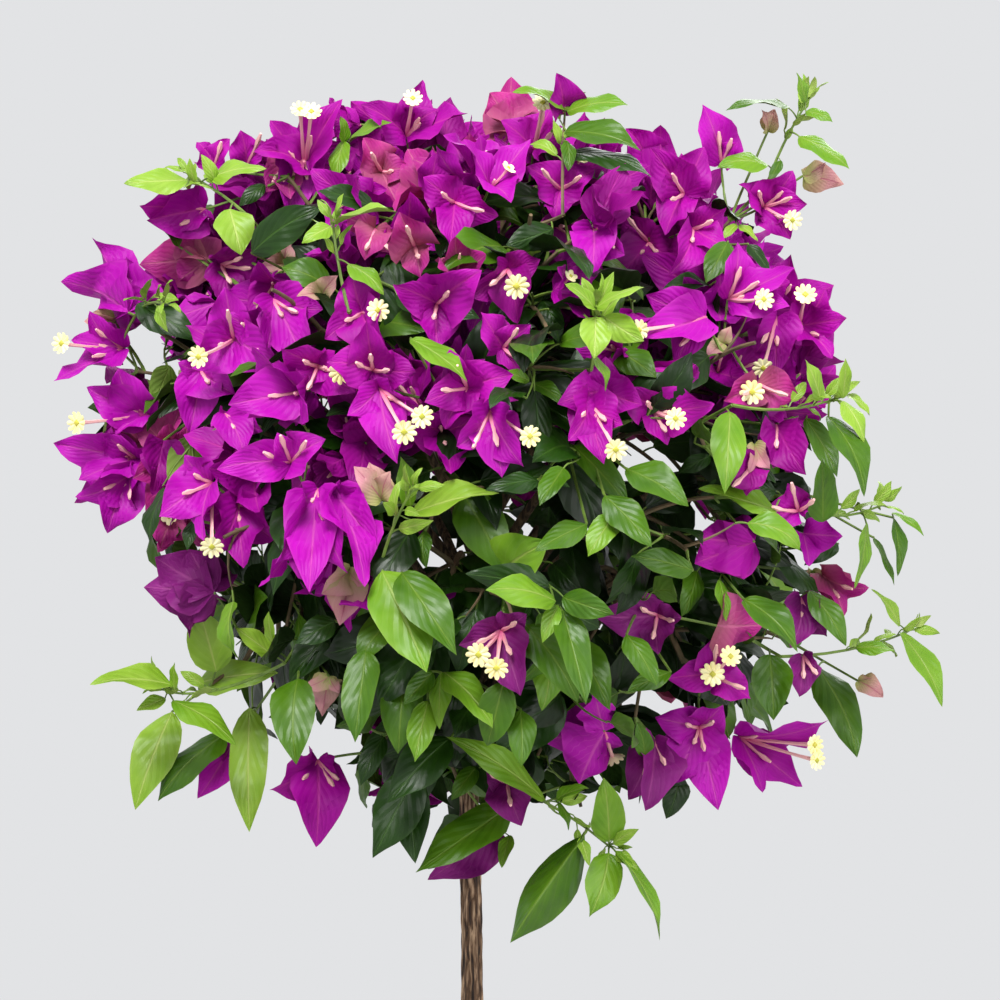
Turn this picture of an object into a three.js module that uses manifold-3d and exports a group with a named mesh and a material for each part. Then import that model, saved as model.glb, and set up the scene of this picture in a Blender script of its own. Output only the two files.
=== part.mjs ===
// A bougainvillea trained as a standard: one slim bare stem with a root flare, and a round head
// of boughs, each carrying a mass of twigs with leaves and three-winged clusters of bracts.
// Millimetres, +Z up. The origin is the centre of the flat cut under the stem, at ground level.
// The front of the head faces -Y, and +X is to the right of someone looking at the front.
import * as THREE from "three";
import { mergeVertices } from "three/addons/utils/BufferGeometryUtils.js";
import Module from "manifold-3d";

const wasm = await Module();
wasm.setup();

// ---- Driving dimensions ----
const UP = new THREE.Vector3(0, 0, 1);
const GAP = 0.3; // air between two pieces that meet

const STEM_TOP = 520; // where the stem ends inside the head
const HEAD_BASE = 357; // where the bare stem enters the foliage
const STEM_RADIUS = { ground: 5.3, headBase: 4.6, tip: 2.2 };
const FLARE = { rise: 13, spread: 3.6, lobes: 3, lobeShare: 0.16 };
const STEM_SWAY = 1.1;
const STEM_LEAN = 5; // sideways shift of the stem's tip
const STEM_SIDES = 10;
const STEM_STEPS = 14;

const HEAD_CENTRE = new THREE.Vector3(11, 0, 532);
const BOUGH = { lowest: 384, highest: 514, base: 2.3, tip: 1.5, sides: 5, steps: 3, arch: 0.15 };
const BOUGH_SHARE = 0.4; // how far out a bough goes, as a share of its mass's reach
const CELL_SHARE = 0.66; // where the middle of a mass's own space lies, as a share of its reach
const CELL_GAP = 0.5; // air on each side of the border between two masses
const LIMB_GAP = 4.5; // air between a mass's blades and the stem or a bough

// A mass's spine ends at this share of its reach. Its twigs end short of the reach by their
// overhang, which the blades at their ends take up.
const SPINE = { share: 0.66, straight: 0.4, base: 2.2, tip: 2.0, steps: 2 };
const TWIG = { base: 0.8, tip: 0.9, steps: 2, count: 6, spread: 34, arch: 0.12, overhang: 34 };
const TWIG_ROOTS = { first: 0.97, highest: 0.9, lowest: 0.3 }; // as shares of the spine
const TWIG_SHRINK = 0.08; // what a twig that doesn't fit loses at each new try

// A blade's broadest place and its ridge are shares of its length, and so is the drop of its tip.
// Both kinds are larger than life, because they stand for several real ones each.
const LEAF = { length: 60, width: 37, thick: 1.3, fold: 4.5, curl: 0.14, broadest: 0.4, ridge: 0.12 };
const BRACT = { length: 51, width: 41, thick: 1.2, fold: 1, curl: -0.1, broadest: 0.5, ridge: 0.12 };
const ROOT_SUNK = 0.3; // how far past the middle of its twig a blade starts
const LEAF_SPACING = 16;
const LEAVES_ON_A_SHOOT = { highest: 0.98, count: 6 };
const LEAVES_BELOW_BRACTS = { highest: 0.5, count: 2 };
const BRACT_STEP = 1.7; // how far apart the bracts of a cluster leave the wood
const BRACT_OPENING = 55; // degrees between a bract and the axis of its cluster
const BRACT_SWING = 9; // degrees that a bract that doesn't fit is turned at each new try
const SIDE_CLUSTERS = [0.72, 0.4]; // where more clusters stand along a flowering twig
const SIDE_CLUSTER_TILT = 35; // degrees that they lean from standing square to it
const LEAF_ANGLE = { end: 22, side: 58 }; // degrees between a leaf and its twig
const TRIES = 8; // how often a blade that doesn't fit is turned and shortened before it is skipped
const BLADE_SCALE = { most: 1.1, least: 0.75 };
const GOLDEN_ANGLE = 137.5;
const FIRST_SEED = 1000;
const SEED_STEP = 77;

// Each mass of foliage: its direction from the head's centre (azimuth 0 is the front and 90 is
// +X), the reach of its longest shoot, and the share of its twigs that end in bracts.
const MASSES = [
  { name: "top_centre", azimuth: 10, elevation: 80, reach: 184, bloom: 0.85 },
  { name: "top_left", azimuth: -74, elevation: 54, reach: 203, bloom: 0.85 },
  { name: "top_right", azimuth: 78, elevation: 46, reach: 212, bloom: 0.85 },
  { name: "front_top", azimuth: 8, elevation: 44, reach: 186, bloom: 1 },
  { name: "front_top_left", azimuth: -42, elevation: 29, reach: 190, bloom: 0.9 },
  { name: "front_top_right", azimuth: 50, elevation: 21, reach: 186, bloom: 0.9 },
  { name: "left", azimuth: -90, elevation: 16, reach: 206, bloom: 1 },
  { name: "front_middle", azimuth: -8, elevation: 11, reach: 184, bloom: 0.85 },
  { name: "front_left", azimuth: -48, elevation: -10, reach: 186, bloom: 0.9 },
  { name: "front_right", azimuth: 32, elevation: -12, reach: 184, bloom: 0.15 },
  { name: "right", azimuth: 92, elevation: -4, reach: 192, bloom: 0.3 },
  { name: "front_low", azimuth: -12, elevation: -30, reach: 184, bloom: 0.15 },
  { name: "low_left", azimuth: -72, elevation: -36, reach: 220, bloom: 0.15 },
  { name: "low_right", azimuth: 52, elevation: -38, reach: 198, bloom: 0.85 },
  { name: "right_low", azimuth: 96, elevation: -30, reach: 220, bloom: 0.15 },
  { name: "bottom_right", azimuth: 35, elevation: -66, reach: 220, bloom: 0.15 },
  { name: "bottom_left", azimuth: -50, elevation: -62, reach: 194, bloom: 0.15 },
  { name: "back_top", azimuth: 176, elevation: 45, reach: 188, bloom: 1 },
  { name: "back_left", azimuth: -138, elevation: 12, reach: 192, bloom: 0.85 },
  { name: "back_right", azimuth: 136, elevation: 10, reach: 190, bloom: 0.85 },
  { name: "back_middle", azimuth: 180, elevation: -6, reach: 186, bloom: 0.15 },
  { name: "back_low_left", azimuth: -130, elevation: -38, reach: 196, bloom: 0.85 },
  { name: "back_low_right", azimuth: 134, elevation: -36, reach: 194, bloom: 0.15 },
  { name: "bottom_back", azimuth: 180, elevation: -60, reach: 192, bloom: 0.15 },
];

// ---- Finishes ----
const finish = (color, roughness) =>
  new THREE.MeshStandardMaterial({ color, roughness, metalness: 0, flatShading: true });
const BARK = finish(0x7a5c42, 0.9);
const BOUGH_BARK = finish(0x6b5238, 0.85);
const BRACTS = finish(0xa816a6, 0.6);
const LEAVES = finish(0x3f7a24, 0.45);

// ---- Small helpers ----
const radians = THREE.MathUtils.degToRad;
const lerp = THREE.MathUtils.lerp;

// The same numbers on every run, so that the plant is always the same plant.
function seeded(seed) {
  let state = seed >>> 0;
  return () => {
    state = (Math.imul(state, 1664525) + 1013904223) >>> 0;
    return state / 4294967296;
  };
}

function direction(azimuth, elevation) {
  const a = radians(azimuth);
  const e = radians(elevation);
  return new THREE.Vector3(Math.sin(a) * Math.cos(e), -Math.cos(a) * Math.cos(e), Math.sin(e));
}

// Two unit vectors square to a direction, the second as near to upright as it can be.
function sidesOf(along) {
  const level = Math.abs(along.z) > 0.95 ? new THREE.Vector3(1, 0, 0) : UP;
  const side = new THREE.Vector3().crossVectors(along, level).normalize();
  const over = new THREE.Vector3().crossVectors(side, along).normalize();
  return [side, over];
}

// A direction turned away from another by an angle, towards a bearing round it.
function turned(along, away, bearing) {
  const [side, over] = sidesOf(along);
  const outward = side
    .multiplyScalar(Math.cos(radians(bearing)))
    .addScaledVector(over, Math.sin(radians(bearing)));
  return along
    .clone()
    .multiplyScalar(Math.cos(radians(away)))
    .addScaledVector(outward, Math.sin(radians(away)))
    .normalize();
}

// A chain of straight steps that follows a curve: limbs are made along it, and what grows on a
// limb starts on it, so that its root lies inside the wood.
function chain(curve, steps) {
  const points = Array.from({ length: steps + 1 }, (_, i) => curve.getPoint(i / steps));
  const stepAt = (t) => Math.min(steps - 1, Math.max(0, Math.floor(t * steps)));
  return {
    points,
    length: curve.getLength(),
    pointAt: (t) => points[stepAt(t)].clone().lerp(points[stepAt(t) + 1], t * steps - stepAt(t)),
    headingAt: (t) => points[stepAt(t) + 1].clone().sub(points[stepAt(t)]).normalize(),
  };
}

// An arching chain from one point to another.
function arching(start, end, arch, steps) {
  const middle = start.clone().lerp(end, 0.5);
  middle.addScaledVector(UP, arch * start.distanceTo(end));
  return chain(new THREE.QuadraticBezierCurve3(start, middle, end), steps);
}

function moveVertices(geometry, place) {
  const position = geometry.attributes.position;
  const v = new THREE.Vector3();
  for (let i = 0; i < position.count; i++) {
    v.fromBufferAttribute(position, i);
    place(v);
    position.setXYZ(i, v.x, v.y, v.z);
  }
  return geometry;
}

// A tapering tube along a chain, made from a cylinder whose rings are set across the chain. Its
// first ring lies square to firstHeading, where one is given.
function limb(line, baseRadius, tipRadius, sides, firstHeading) {
  const steps = line.points.length - 1;
  const rings = line.points.map((at, i) => {
    const bend = line.headingAt((i - 0.5) / steps).add(line.headingAt((i + 0.5) / steps));
    const along = i === 0 && firstHeading ? firstHeading : bend.normalize();
    return { at, across: sidesOf(along) };
  });
  return moveVertices(new THREE.CylinderGeometry(1, 1, 1, sides, steps), (v) => {
    const share = v.y + 0.5;
    const ring = rings[Math.round(share * steps)];
    const radius = lerp(baseRadius, tipRadius, share);
    const [side, over] = ring.across;
    const [x, z] = [v.x * radius, v.z * radius];
    v.copy(ring.at).addScaledVector(side, x).addScaledVector(over, z);
  });
}

// A folded, pointed blade of eight faces that grows from a point along a direction, with its
// upper side facing as nearly as it can towards another. It is thickest at its ridge, near the
// root, and its two edges stand higher than its middle.
function blade(size, scale, from, along, facing) {
  const side = new THREE.Vector3().crossVectors(facing, along).normalize();
  const over = new THREE.Vector3().crossVectors(along, side).normalize();
  const root = from.clone().addScaledVector(along, -ROOT_SUNK);
  return moveVertices(new THREE.OctahedronGeometry(1), (v) => {
    const [end, edge, face] = [v.x, v.y, v.z].map(Math.round);
    const out = end ? Math.max(0, end) : edge ? size.broadest : size.ridge;
    const drop = end > 0 ? size.curl * size.length : 0;
    v.copy(root)
      .addScaledVector(along, out * size.length * scale)
      .addScaledVector(side, edge * 0.5 * size.width * scale)
      .addScaledVector(over, (Math.abs(edge) * size.fold - drop) * scale + face * 0.5 * size.thick);
  });
}

// ---- Joining and cutting ----
function solidOf(geometry) {
  const bare = new THREE.BufferGeometry();
  bare.setAttribute("position", geometry.attributes.position);
  if (geometry.index) bare.setIndex(geometry.index);
  const merged = mergeVertices(bare, 1e-4);
  return new wasm.Manifold(
    new wasm.Mesh({
      numProp: 3,
      vertProperties: merged.attributes.position.array,
      triVerts: new Uint32Array(merged.index.array),
    }),
  );
}

// The largest piece of a solid: loose scraps and the walls of sealed pockets are left behind.
function largest(solid) {
  return solid.decompose().reduce((a, b) => (b.volume() > a.volume() ? b : a));
}

function meshOf(name, solid, material) {
  const made = solid.getMesh();
  const geometry = new THREE.BufferGeometry();
  geometry.setAttribute("position", new THREE.BufferAttribute(made.vertProperties, made.numProp));
  geometry.setIndex(new THREE.BufferAttribute(made.triVerts, 1));
  geometry.computeVertexNormals();
  const mesh = new THREE.Mesh(geometry, material);
  mesh.name = name;
  return mesh;
}

// ---- Stem ----
function stemAxis(z) {
  const lean = THREE.MathUtils.smoothstep(z, HEAD_BASE, STEM_TOP) * STEM_LEAN;
  return new THREE.Vector3(lean + STEM_SWAY * Math.sin(z / 38), STEM_SWAY * Math.sin(z / 53), z);
}

function stemRadius(z) {
  const { ground, headBase, tip } = STEM_RADIUS;
  if (z < HEAD_BASE) return lerp(ground, headBase, z / HEAD_BASE);
  return lerp(headBase, tip, (z - HEAD_BASE) / (STEM_TOP - HEAD_BASE));
}

function stemGeometry(extra) {
  const shape = new THREE.CylinderGeometry(1, 1, 1, STEM_SIDES, STEM_STEPS);
  return moveVertices(shape, (v) => {
    const z = STEM_TOP * (v.y + 0.5) ** 1.5;
    const flare = Math.exp(-z / FLARE.rise);
    const bearing = Math.atan2(v.z, v.x);
    const lobe = 1 + FLARE.lobeShare * flare * Math.cos(FLARE.lobes * bearing);
    const radius = (stemRadius(z) + FLARE.spread * flare) * lobe + extra;
    const axis = stemAxis(z);
    v.set(axis.x - v.x * radius, axis.y + v.z * radius, z);
  });
}

// ---- Where things are ----
// Each mass's space holds the points that are nearer to its middle than to any other's.
const cells = MASSES.map((mass) =>
  HEAD_CENTRE.clone().addScaledVector(
    direction(mass.azimuth, mass.elevation),
    mass.reach * CELL_SHARE,
  ),
);

function inCell(index, point) {
  const own = cells[index];
  return cells.every((other, k) => {
    if (k === index) return true;
    const apart = other.clone().sub(own);
    const half = apart.length() / 2;
    return point.clone().sub(own).dot(apart.normalize()) < half - CELL_GAP;
  });
}

const limbPoints = []; // points down the middle of the stem and every bough, with their radii

function noteLimb(pointAt, radiusAt, steps) {
  for (let i = 0; i <= steps; i++) limbPoints.push({ at: pointAt(i / steps), radius: radiusAt(i / steps) });
}

function clearOfLimbs(point, gap) {
  return limbPoints.every(({ at, radius }) => at.distanceTo(point) > radius + gap);
}

// ---- Boughs ----
// Boughs leave the stem in the order of their height in the head, the lowest mass's first.
const byHeight = MASSES.map((_, i) => i).sort((a, b) => MASSES[a].elevation - MASSES[b].elevation);

function boughLine(index) {
  const mass = MASSES[index];
  const rank = byHeight.indexOf(index) / (MASSES.length - 1);
  const start = stemAxis(lerp(BOUGH.lowest, BOUGH.highest, rank));
  const out = direction(mass.azimuth, mass.elevation);
  const end = HEAD_CENTRE.clone().addScaledVector(out, mass.reach * BOUGH_SHARE);
  return arching(start, end, BOUGH.arch, BOUGH.steps);
}

function boughSolid(line, grownStem) {
  const whole = solidOf(limb(line, BOUGH.base, BOUGH.tip, BOUGH.sides));
  return largest(whole.subtract(grownStem));
}

// ---- Masses of foliage ----
// A mass has one spine, which goes on from its bough. Twigs leave the spine and end spread
// evenly over the outside of the mass, the first of them furthest out.
function spineOf(index, bough) {
  const mass = MASSES[index];
  const start = bough.pointAt(1).addScaledVector(bough.headingAt(1), GAP);
  const out = direction(mass.azimuth, mass.elevation);
  const end = HEAD_CENTRE.clone().addScaledVector(out, mass.reach * SPINE.share);
  const straight = start.distanceTo(end) * SPINE.straight;
  const middle = start.clone().addScaledVector(bough.headingAt(1), straight);
  return chain(new THREE.QuadraticBezierCurve3(start, middle, end), SPINE.steps);
}

function fits(index, points) {
  const { reach } = MASSES[index];
  return points.every((p) => {
    return p.distanceTo(HEAD_CENTRE) < reach && inCell(index, p) && clearOfLimbs(p, LIMB_GAP);
  });
}

function twigsOf(index, spine, random) {
  const mass = MASSES[index];
  const out = direction(mass.azimuth, mass.elevation);
  const twigs = [];
  for (let i = 0; i < TWIG.count; i++) {
    const away = TWIG.spread * Math.sqrt(i / (TWIG.count - 1));
    const bearing = i * GOLDEN_ANGLE + 40 * (random() - 0.5);
    const share = i === 0 ? 1 : lerp(0.86, 0.96, random());
    const heading = turned(out, away, bearing);
    const { first, highest, lowest } = TWIG_ROOTS;
    const start = spine.pointAt(i === 0 ? first : lerp(highest, lowest, i / (TWIG.count - 1)));
    const end = HEAD_CENTRE.clone().addScaledVector(heading, (mass.reach - TWIG.overhang) * share);
    for (let shrink = 1; shrink > 0.5; shrink -= TWIG_SHRINK) {
      const twig = arching(start, start.clone().lerp(end, shrink), TWIG.arch, TWIG.steps);
      const probes = [0.4, 0.6, 0.8, 1].map(twig.pointAt);
      if (!fits(index, probes)) continue;
      twigs.push(twig);
      break;
    }
  }
  return twigs;
}

// The corners and the middles of the edges of a shape of loose triangles.
function probesOf(shape) {
  const position = shape.attributes.position;
  const probes = [];
  for (let i = 0; i < position.count; i += 3) {
    const [a, b, c] = [0, 1, 2].map((k) => new THREE.Vector3().fromBufferAttribute(position, i + k));
    probes.push(a, b, c, a.clone().lerp(b, 0.5), b.clone().lerp(c, 0.5), c.clone().lerp(a, 0.5));
  }
  return probes;
}

// Adds a blade to a mass if it stays in the mass's space, touches no limb and crosses nothing but
// the twig that it grows on.
function addBlade(mass, twig, shape) {
  if (!fits(mass.index, probesOf(shape))) return false;
  const made = solidOf(shape);
  if (mass.pieces.some((piece) => piece !== twig && !piece.made.intersect(made).isEmpty())) return false;
  mass.pieces.push({ made });
  return true;
}

// Leaves stand alternately round a twig, droop a little and turn their upper side up and out.
function growLeaves(mass, twig, highest, count) {
  for (let k = 0; k < count; k++) {
    const t = highest - (k * LEAF_SPACING) / twig.line.length;
    if (t < 0.08) return;
    const from = twig.line.pointAt(t);
    const outward = from.clone().sub(HEAD_CENTRE).normalize();
    const facing = outward.clone().addScaledVector(UP, 0.7).normalize();
    for (let attempt = 0; attempt < TRIES; attempt++) {
      const bearing = k * GOLDEN_ANGLE + 360 * mass.random();
      const away = t > 0.95 ? LEAF_ANGLE.end : LEAF_ANGLE.side;
      const along = turned(twig.line.headingAt(t), away, bearing);
      along.addScaledVector(UP, -0.3).addScaledVector(outward, 0.25).normalize();
      const scale = lerp(BLADE_SCALE.most, BLADE_SCALE.least, attempt / TRIES);
      if (addBlade(mass, twig, blade(LEAF, scale, from, along, facing))) break;
    }
  }
}

// Three bracts round one point of a twig, open like a lantern round an axis, each a little
// further back on the wood than the last.
function growCluster(mass, twig, t, axis) {
  const turn = 120 * mass.random();
  for (let k = 0; k < 3; k++) {
    const from = twig.line.pointAt(t - (BRACT_STEP * (k + 1)) / twig.line.length);
    for (let attempt = 0; attempt < TRIES; attempt++) {
      const swing = attempt * BRACT_SWING * (attempt % 2 ? 1 : -1);
      const along = turned(axis, BRACT_OPENING, turn + k * 120 + swing);
      const scale = lerp(BLADE_SCALE.most, BLADE_SCALE.least, attempt / TRIES);
      if (addBlade(mass, twig, blade(BRACT, scale, from, along, axis))) break;
    }
  }
}

// A flowering twig has one cluster at its end and more along its outer side.
function growBlooms(mass, twig) {
  growCluster(mass, twig, 1, twig.line.headingAt(1));
  for (const t of SIDE_CLUSTERS) {
    const outward = twig.line.pointAt(t).sub(HEAD_CENTRE).normalize();
    const heading = twig.line.headingAt(t);
    const square = outward.clone().addScaledVector(heading, -outward.dot(heading)).normalize();
    growCluster(mass, twig, t, turned(square, SIDE_CLUSTER_TILT, 360 * mass.random()));
  }
}

function massSolid(index, bough) {
  const random = seeded(FIRST_SEED + SEED_STEP * index);
  const spine = { line: spineOf(index, bough) };
  spine.made = solidOf(limb(spine.line, SPINE.base, SPINE.tip, 3, bough.headingAt(1)));
  const twigs = twigsOf(index, spine.line, random).map((line) => {
    return { line, made: solidOf(limb(line, TWIG.base, TWIG.tip, 3)) };
  });
  const mass = { index, random, pieces: [spine, ...twigs] };
  twigs.forEach((twig, i) => {
    const flowers = (i + 0.5) / twigs.length < MASSES[index].bloom;
    if (flowers) growBlooms(mass, twig);
    const { highest, count } = flowers ? LEAVES_BELOW_BRACTS : LEAVES_ON_A_SHOOT;
    growLeaves(mass, twig, highest, count);
  });
  return largest(wasm.Manifold.union(mass.pieces.map((piece) => piece.made)).simplify(0.01));
}

// ---- The plant ----
const plant = new THREE.Group();
plant.name = "bougainvillea_standard";

plant.add(meshOf("stem", solidOf(stemGeometry(0)), BARK));
noteLimb((t) => stemAxis(t * STEM_TOP), (t) => stemRadius(t * STEM_TOP), 90);

const boughs = MASSES.map((_, index) => boughLine(index));
for (const bough of boughs) noteLimb(bough.pointAt, () => BOUGH.base, 12);

const grownStem = solidOf(stemGeometry(GAP));
MASSES.forEach((mass, index) => {
  const bough = boughSolid(boughs[index], grownStem);
  plant.add(meshOf("bough_" + mass.name, bough, BOUGH_BARK));
  const material = mass.bloom > 0.5 ? BRACTS : LEAVES;
  const foliage = massSolid(index, boughs[index]);
  plant.add(meshOf("foliage_" + mass.name, foliage, material));
});

export default plant;
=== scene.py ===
"""A bougainvillea trained as a standard, dressed around its fixed frame.

A slim stem with furrowed bark rises to a round head. Boughs, spines and twigs follow the growth
rule that made the frame's own limbs, and finer twigs grow on from them to carry the leaves and
the clusters of bracts. The plant's sizes are in millimetres, and its meshes are in metres.
The front of the head faces -Y, and +X is to the right of someone looking at the front.
"""
import math

import bmesh
import bpy
import numpy as np
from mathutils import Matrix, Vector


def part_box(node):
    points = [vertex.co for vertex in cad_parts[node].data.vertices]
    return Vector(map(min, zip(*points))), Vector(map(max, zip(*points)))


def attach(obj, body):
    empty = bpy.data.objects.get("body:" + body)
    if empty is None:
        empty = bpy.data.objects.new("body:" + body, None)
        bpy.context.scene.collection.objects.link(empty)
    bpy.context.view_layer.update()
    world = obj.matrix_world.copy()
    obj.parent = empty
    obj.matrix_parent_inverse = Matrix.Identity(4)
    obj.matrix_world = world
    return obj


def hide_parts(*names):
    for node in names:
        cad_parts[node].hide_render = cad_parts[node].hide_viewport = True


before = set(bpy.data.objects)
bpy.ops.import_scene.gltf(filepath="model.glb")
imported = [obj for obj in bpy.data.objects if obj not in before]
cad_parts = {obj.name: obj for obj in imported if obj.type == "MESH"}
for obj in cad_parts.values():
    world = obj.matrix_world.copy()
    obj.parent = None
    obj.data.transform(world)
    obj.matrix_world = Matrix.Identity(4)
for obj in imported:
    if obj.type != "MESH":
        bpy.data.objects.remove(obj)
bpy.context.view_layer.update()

# ---- Sizes and places that the frame's limbs share, in millimetres ----
MM = 0.001
UP = np.array([0.0, 0.0, 1.0])
FORWARD_AXIS = np.array([0.0, 1.0, 0.0])
GAP = 0.3

STEM_TOP = round(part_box("stem")[1].z / MM)
HEAD_BASE = 357
STEM_RADIUS = {"ground": 5.3, "head_base": 4.6, "tip": 2.2}
FLARE = {"rise": 13, "spread": 3.6, "lobes": 3, "lobe_share": 0.16}
STEM_SWAY = 1.1
STEM_LEAN = 5

HEAD_CENTRE = np.array([11.0, 0.0, 532.0])
BOUGH = {"lowest": 384, "highest": 514, "base": 2.3, "tip": 1.5, "steps": 3, "arch": 0.15}
BOUGH_SHARE = 0.4
CELL_SHARE = 0.66
CELL_GAP = 0.5
LIMB_GAP = 4.5
SPINE = {"share": 0.66, "straight": 0.4, "base": 1.5, "tip": 1.2, "steps": 2}
TWIG = {
    "base": 1.15, "tip": 0.8, "steps": 2, "count": 6, "spread": 34, "arch": 0.12, "overhang": 34,
    "wander": 40, "lengths": (0.86, 0.96), "tested": (0.4, 0.6, 0.8, 1), "least": 0.5,
}
TWIG_ROOTS = {"first": 0.97, "highest": 0.9, "lowest": 0.3}
TWIG_SHRINK = 0.08
GOLDEN_ANGLE = 137.5
FIRST_SEED = 1000
SEED_STEP = 77
CHOSEN_SEED = 4242  # for what is placed one by one

# Each mass: its name, azimuth (0 is the front, 90 is +X), elevation, and reach from the centre.
MASSES = [
    ("top_centre", 10, 80, 184), ("top_left", -74, 54, 203), ("top_right", 78, 46, 212),
    ("front_top", 8, 44, 186), ("front_top_left", -42, 29, 190), ("front_top_right", 50, 21, 186),
    ("left", -90, 16, 206), ("front_middle", -8, 11, 184), ("front_left", -48, -10, 186),
    ("front_right", 32, -12, 184), ("right", 92, -4, 192), ("front_low", -12, -30, 184),
    ("low_left", -72, -36, 220), ("low_right", 52, -38, 198), ("right_low", 96, -30, 220),
    ("bottom_right", 35, -66, 220), ("bottom_left", -50, -62, 194), ("back_top", 176, 45, 188),
    ("back_left", -138, 12, 192), ("back_right", 136, 10, 190), ("back_middle", 180, -6, 186),
    ("back_low_left", -130, -38, 196), ("back_low_right", 134, -36, 194), ("bottom_back", 180, -60, 192),
]

# ---- Sizes of what only shows here ----
# How far each mass's own sprays reach where only a long shoot goes further.
BODY = {
    "low_left": 165, "bottom_left": 168, "right": 166, "right_low": 174, "bottom_right": 172,
    "low_right": 190, "top_right": 192, "top_left": 200, "front_top_right": 178,
}
# The head's outline from the front, without the long shoots: degrees round from +X, and radius.
OUTLINE = [
    (-180, 198), (-174, 182), (-169, 153), (-161, 162), (-148, 144), (-140, 150), (-124, 158), (-115, 148),
    (-107, 178), (-100, 180), (-90, 168), (-80, 150), (-72, 152), (-62, 170), (-51, 176), (-40, 170),
    (-30, 162), (-17, 168), (-10, 150), (5, 148), (13, 160), (20, 164), (26, 174), (33, 166), (37, 163),
    (42, 184), (50, 180), (60, 173), (70, 164), (80, 165), (90, 168), (97, 167), (102, 178), (113, 183),
    (127, 190), (133, 194), (144, 188), (150, 190), (155, 208), (160, 202), (168, 187), (173, 190),
    (177, 200), (180, 198),
]
# What share of the sprays grows where the head is thinner than elsewhere.
FULLNESS = {
    "low_left": 0.6, "bottom_left": 0.75, "right": 0.75, "right_low": 0.65, "bottom_right": 0.75,
    "low_right": 0.75, "front_low": 0.85, "front_left": 0.85, "front_right": 0.85,
    "bottom_back": 0.75, "back_low_left": 0.85, "back_low_right": 0.85,
}
# Places among the bracts where leaves show instead: azimuth, elevation and radius in degrees.
GREEN_PATCHES = [
    (10, 15, 9), (21, 14, 6), (-23, 10, 6), (16, 36, 6), (-50, 39, 5), (57, 3, 9), (0, -4, 14),
]
SPRAY = {
    "count": 40, "spread": 38, "base": 0.8, "tip": 0.3, "overhang": 24, "shortest": 0.74,
    "wander": 30, "least": 6, "longer": 8, "brown": 0.35,
}
# The tints of flowering sprays. The range is cut short, so the last comes up less often.
SPRAY_TINTS = ("deep", "vivid", "vivid", "bright", "bright", "vivid", "rose")
TINT_RANGE = 6.3
# The lanterns round the end of a flowering spray, and the leaves of a long shoot.
PANICLE = {
    "lanterns": 8, "step": 0.065, "first": (5, 35), "aside": (40, 75), "outward": 0.2,
    "stalk": (6, 14), "size": (0.58, 0.98), "opening": (26, 60),
}
# A lantern of the rule: how far its bracts' bearings stray, how far each opens and how long it is
# against the others, the opening at which bracts are straight, and the room round its middle.
LANTERN = {
    "stray": 24, "openings": (0.75, 1.2), "lengths": (0.88, 1.08), "straight": 36, "limber": 20,
    "middle": 16, "half": 13, "clear": 4,
}
# Flowers: the share of bracts that bear one, the share of those that are open, and how long they are.
FLOWERS = {
    "shown": 0.6, "open": 0.1, "shown_in_front": 0.7, "length": 20, "shares_open": (0.85, 1.1),
    "shares_closed": (0.45, 1.05),
}
SHOOT = {
    "leaves": 10, "at_tip": 4, "step": 0.085, "away": (20, 60), "turn": 100, "wander": 40,
    "tip_lengths": (7, 12), "lengths": (8, 16), "narrow": 0.75,
}
# A leaf's stalk: how long it is and how much of that grows with the leaf, how steeply it leaves
# its twig, and its radii.
LEAF_STALK = {"least": 2.5, "more": 4.5, "rise": 0.4, "radii": (0.6, 0.45)}
# A leaf of the rule: how far it droops and turns outwards, its width against the others, and the
# places along it that have to be free, with the room round each.
GROWN_LEAF = {
    "droop": (-0.15, 0.75), "outward": 0.3, "widths": (0.82, 1.12), "tested": (0.2, 0.5, 0.8), "half": 4.5,
}
# How much a leaf's face is drawn outwards and up, how far it strays, and how nearly it is square
# to the leaf. Then how far along a leaf its middle lies.
FACING = {"outward": 0.9, "up": 0.6, "stray": 0.5, "square": 0.9}
LEAF_MIDDLE = 0.45
# Leaves along a line: where the first is, how far apart they are, how many there are at most,
# their sizes from the end back, and how far inside the head's outline they stay.
LEAF_ROWS = {
    "spray": (1.0, 10, 5, (0.55, 0.9), 0),
    "flowering_spray": (0.5, 13, 1, (0.75, 0.75), 28),
    "twig": (1.0, 11, 5, (0.85, 0.85), 14),
    "flowering_twig": (1.0, 11, 5, (0.85, 0.85), 26),
}
# What is placed one by one: how near a shoot has to be to carry it, how far in front of that a leaf
# starts and how steeply it comes forward, how its shape varies, and how much is kept clear round it.
CHOSEN_LEAF = {
    "near": 8, "deep": (2, 0.28), "others": (7, 0.4), "stray": 6, "narrow": 0.84, "widths": (0.94, 1.04),
    "bending": 0.6, "kept_clear": (0.3, 0.65), "clear": 0.2,
}
CHOSEN_LANTERN = {
    "near": 4, "slopes_towards": (0.15, 0.8), "slopes_away": (0, 0.4), "facing_away": 1.35,
    "widths": (0.9, 1.15), "bending": 0.9, "wave": 1.2, "clear": 0.3,
}
YOUNG_VIGOUR = 0.75  # of a young lantern, against 1 for a full-grown one
# Where along a twig a spray may leave it, and how much of a twig is kept behind its leaves.
SPRAY_ROOTS = (0.3, 0.45, 0.6, 0.75, 0.9, 1.0)
TWIG_KEPT = {"least": 0.45, "step": 0.1, "inside": 24}
# How likely a spray is to flower: over how many degrees that changes at the line, and the limits.
BLOOM = {"border": 10, "least_in_front": 0.03, "least_behind": 0.08, "most": 0.92, "in_patch": 0.05}
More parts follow.
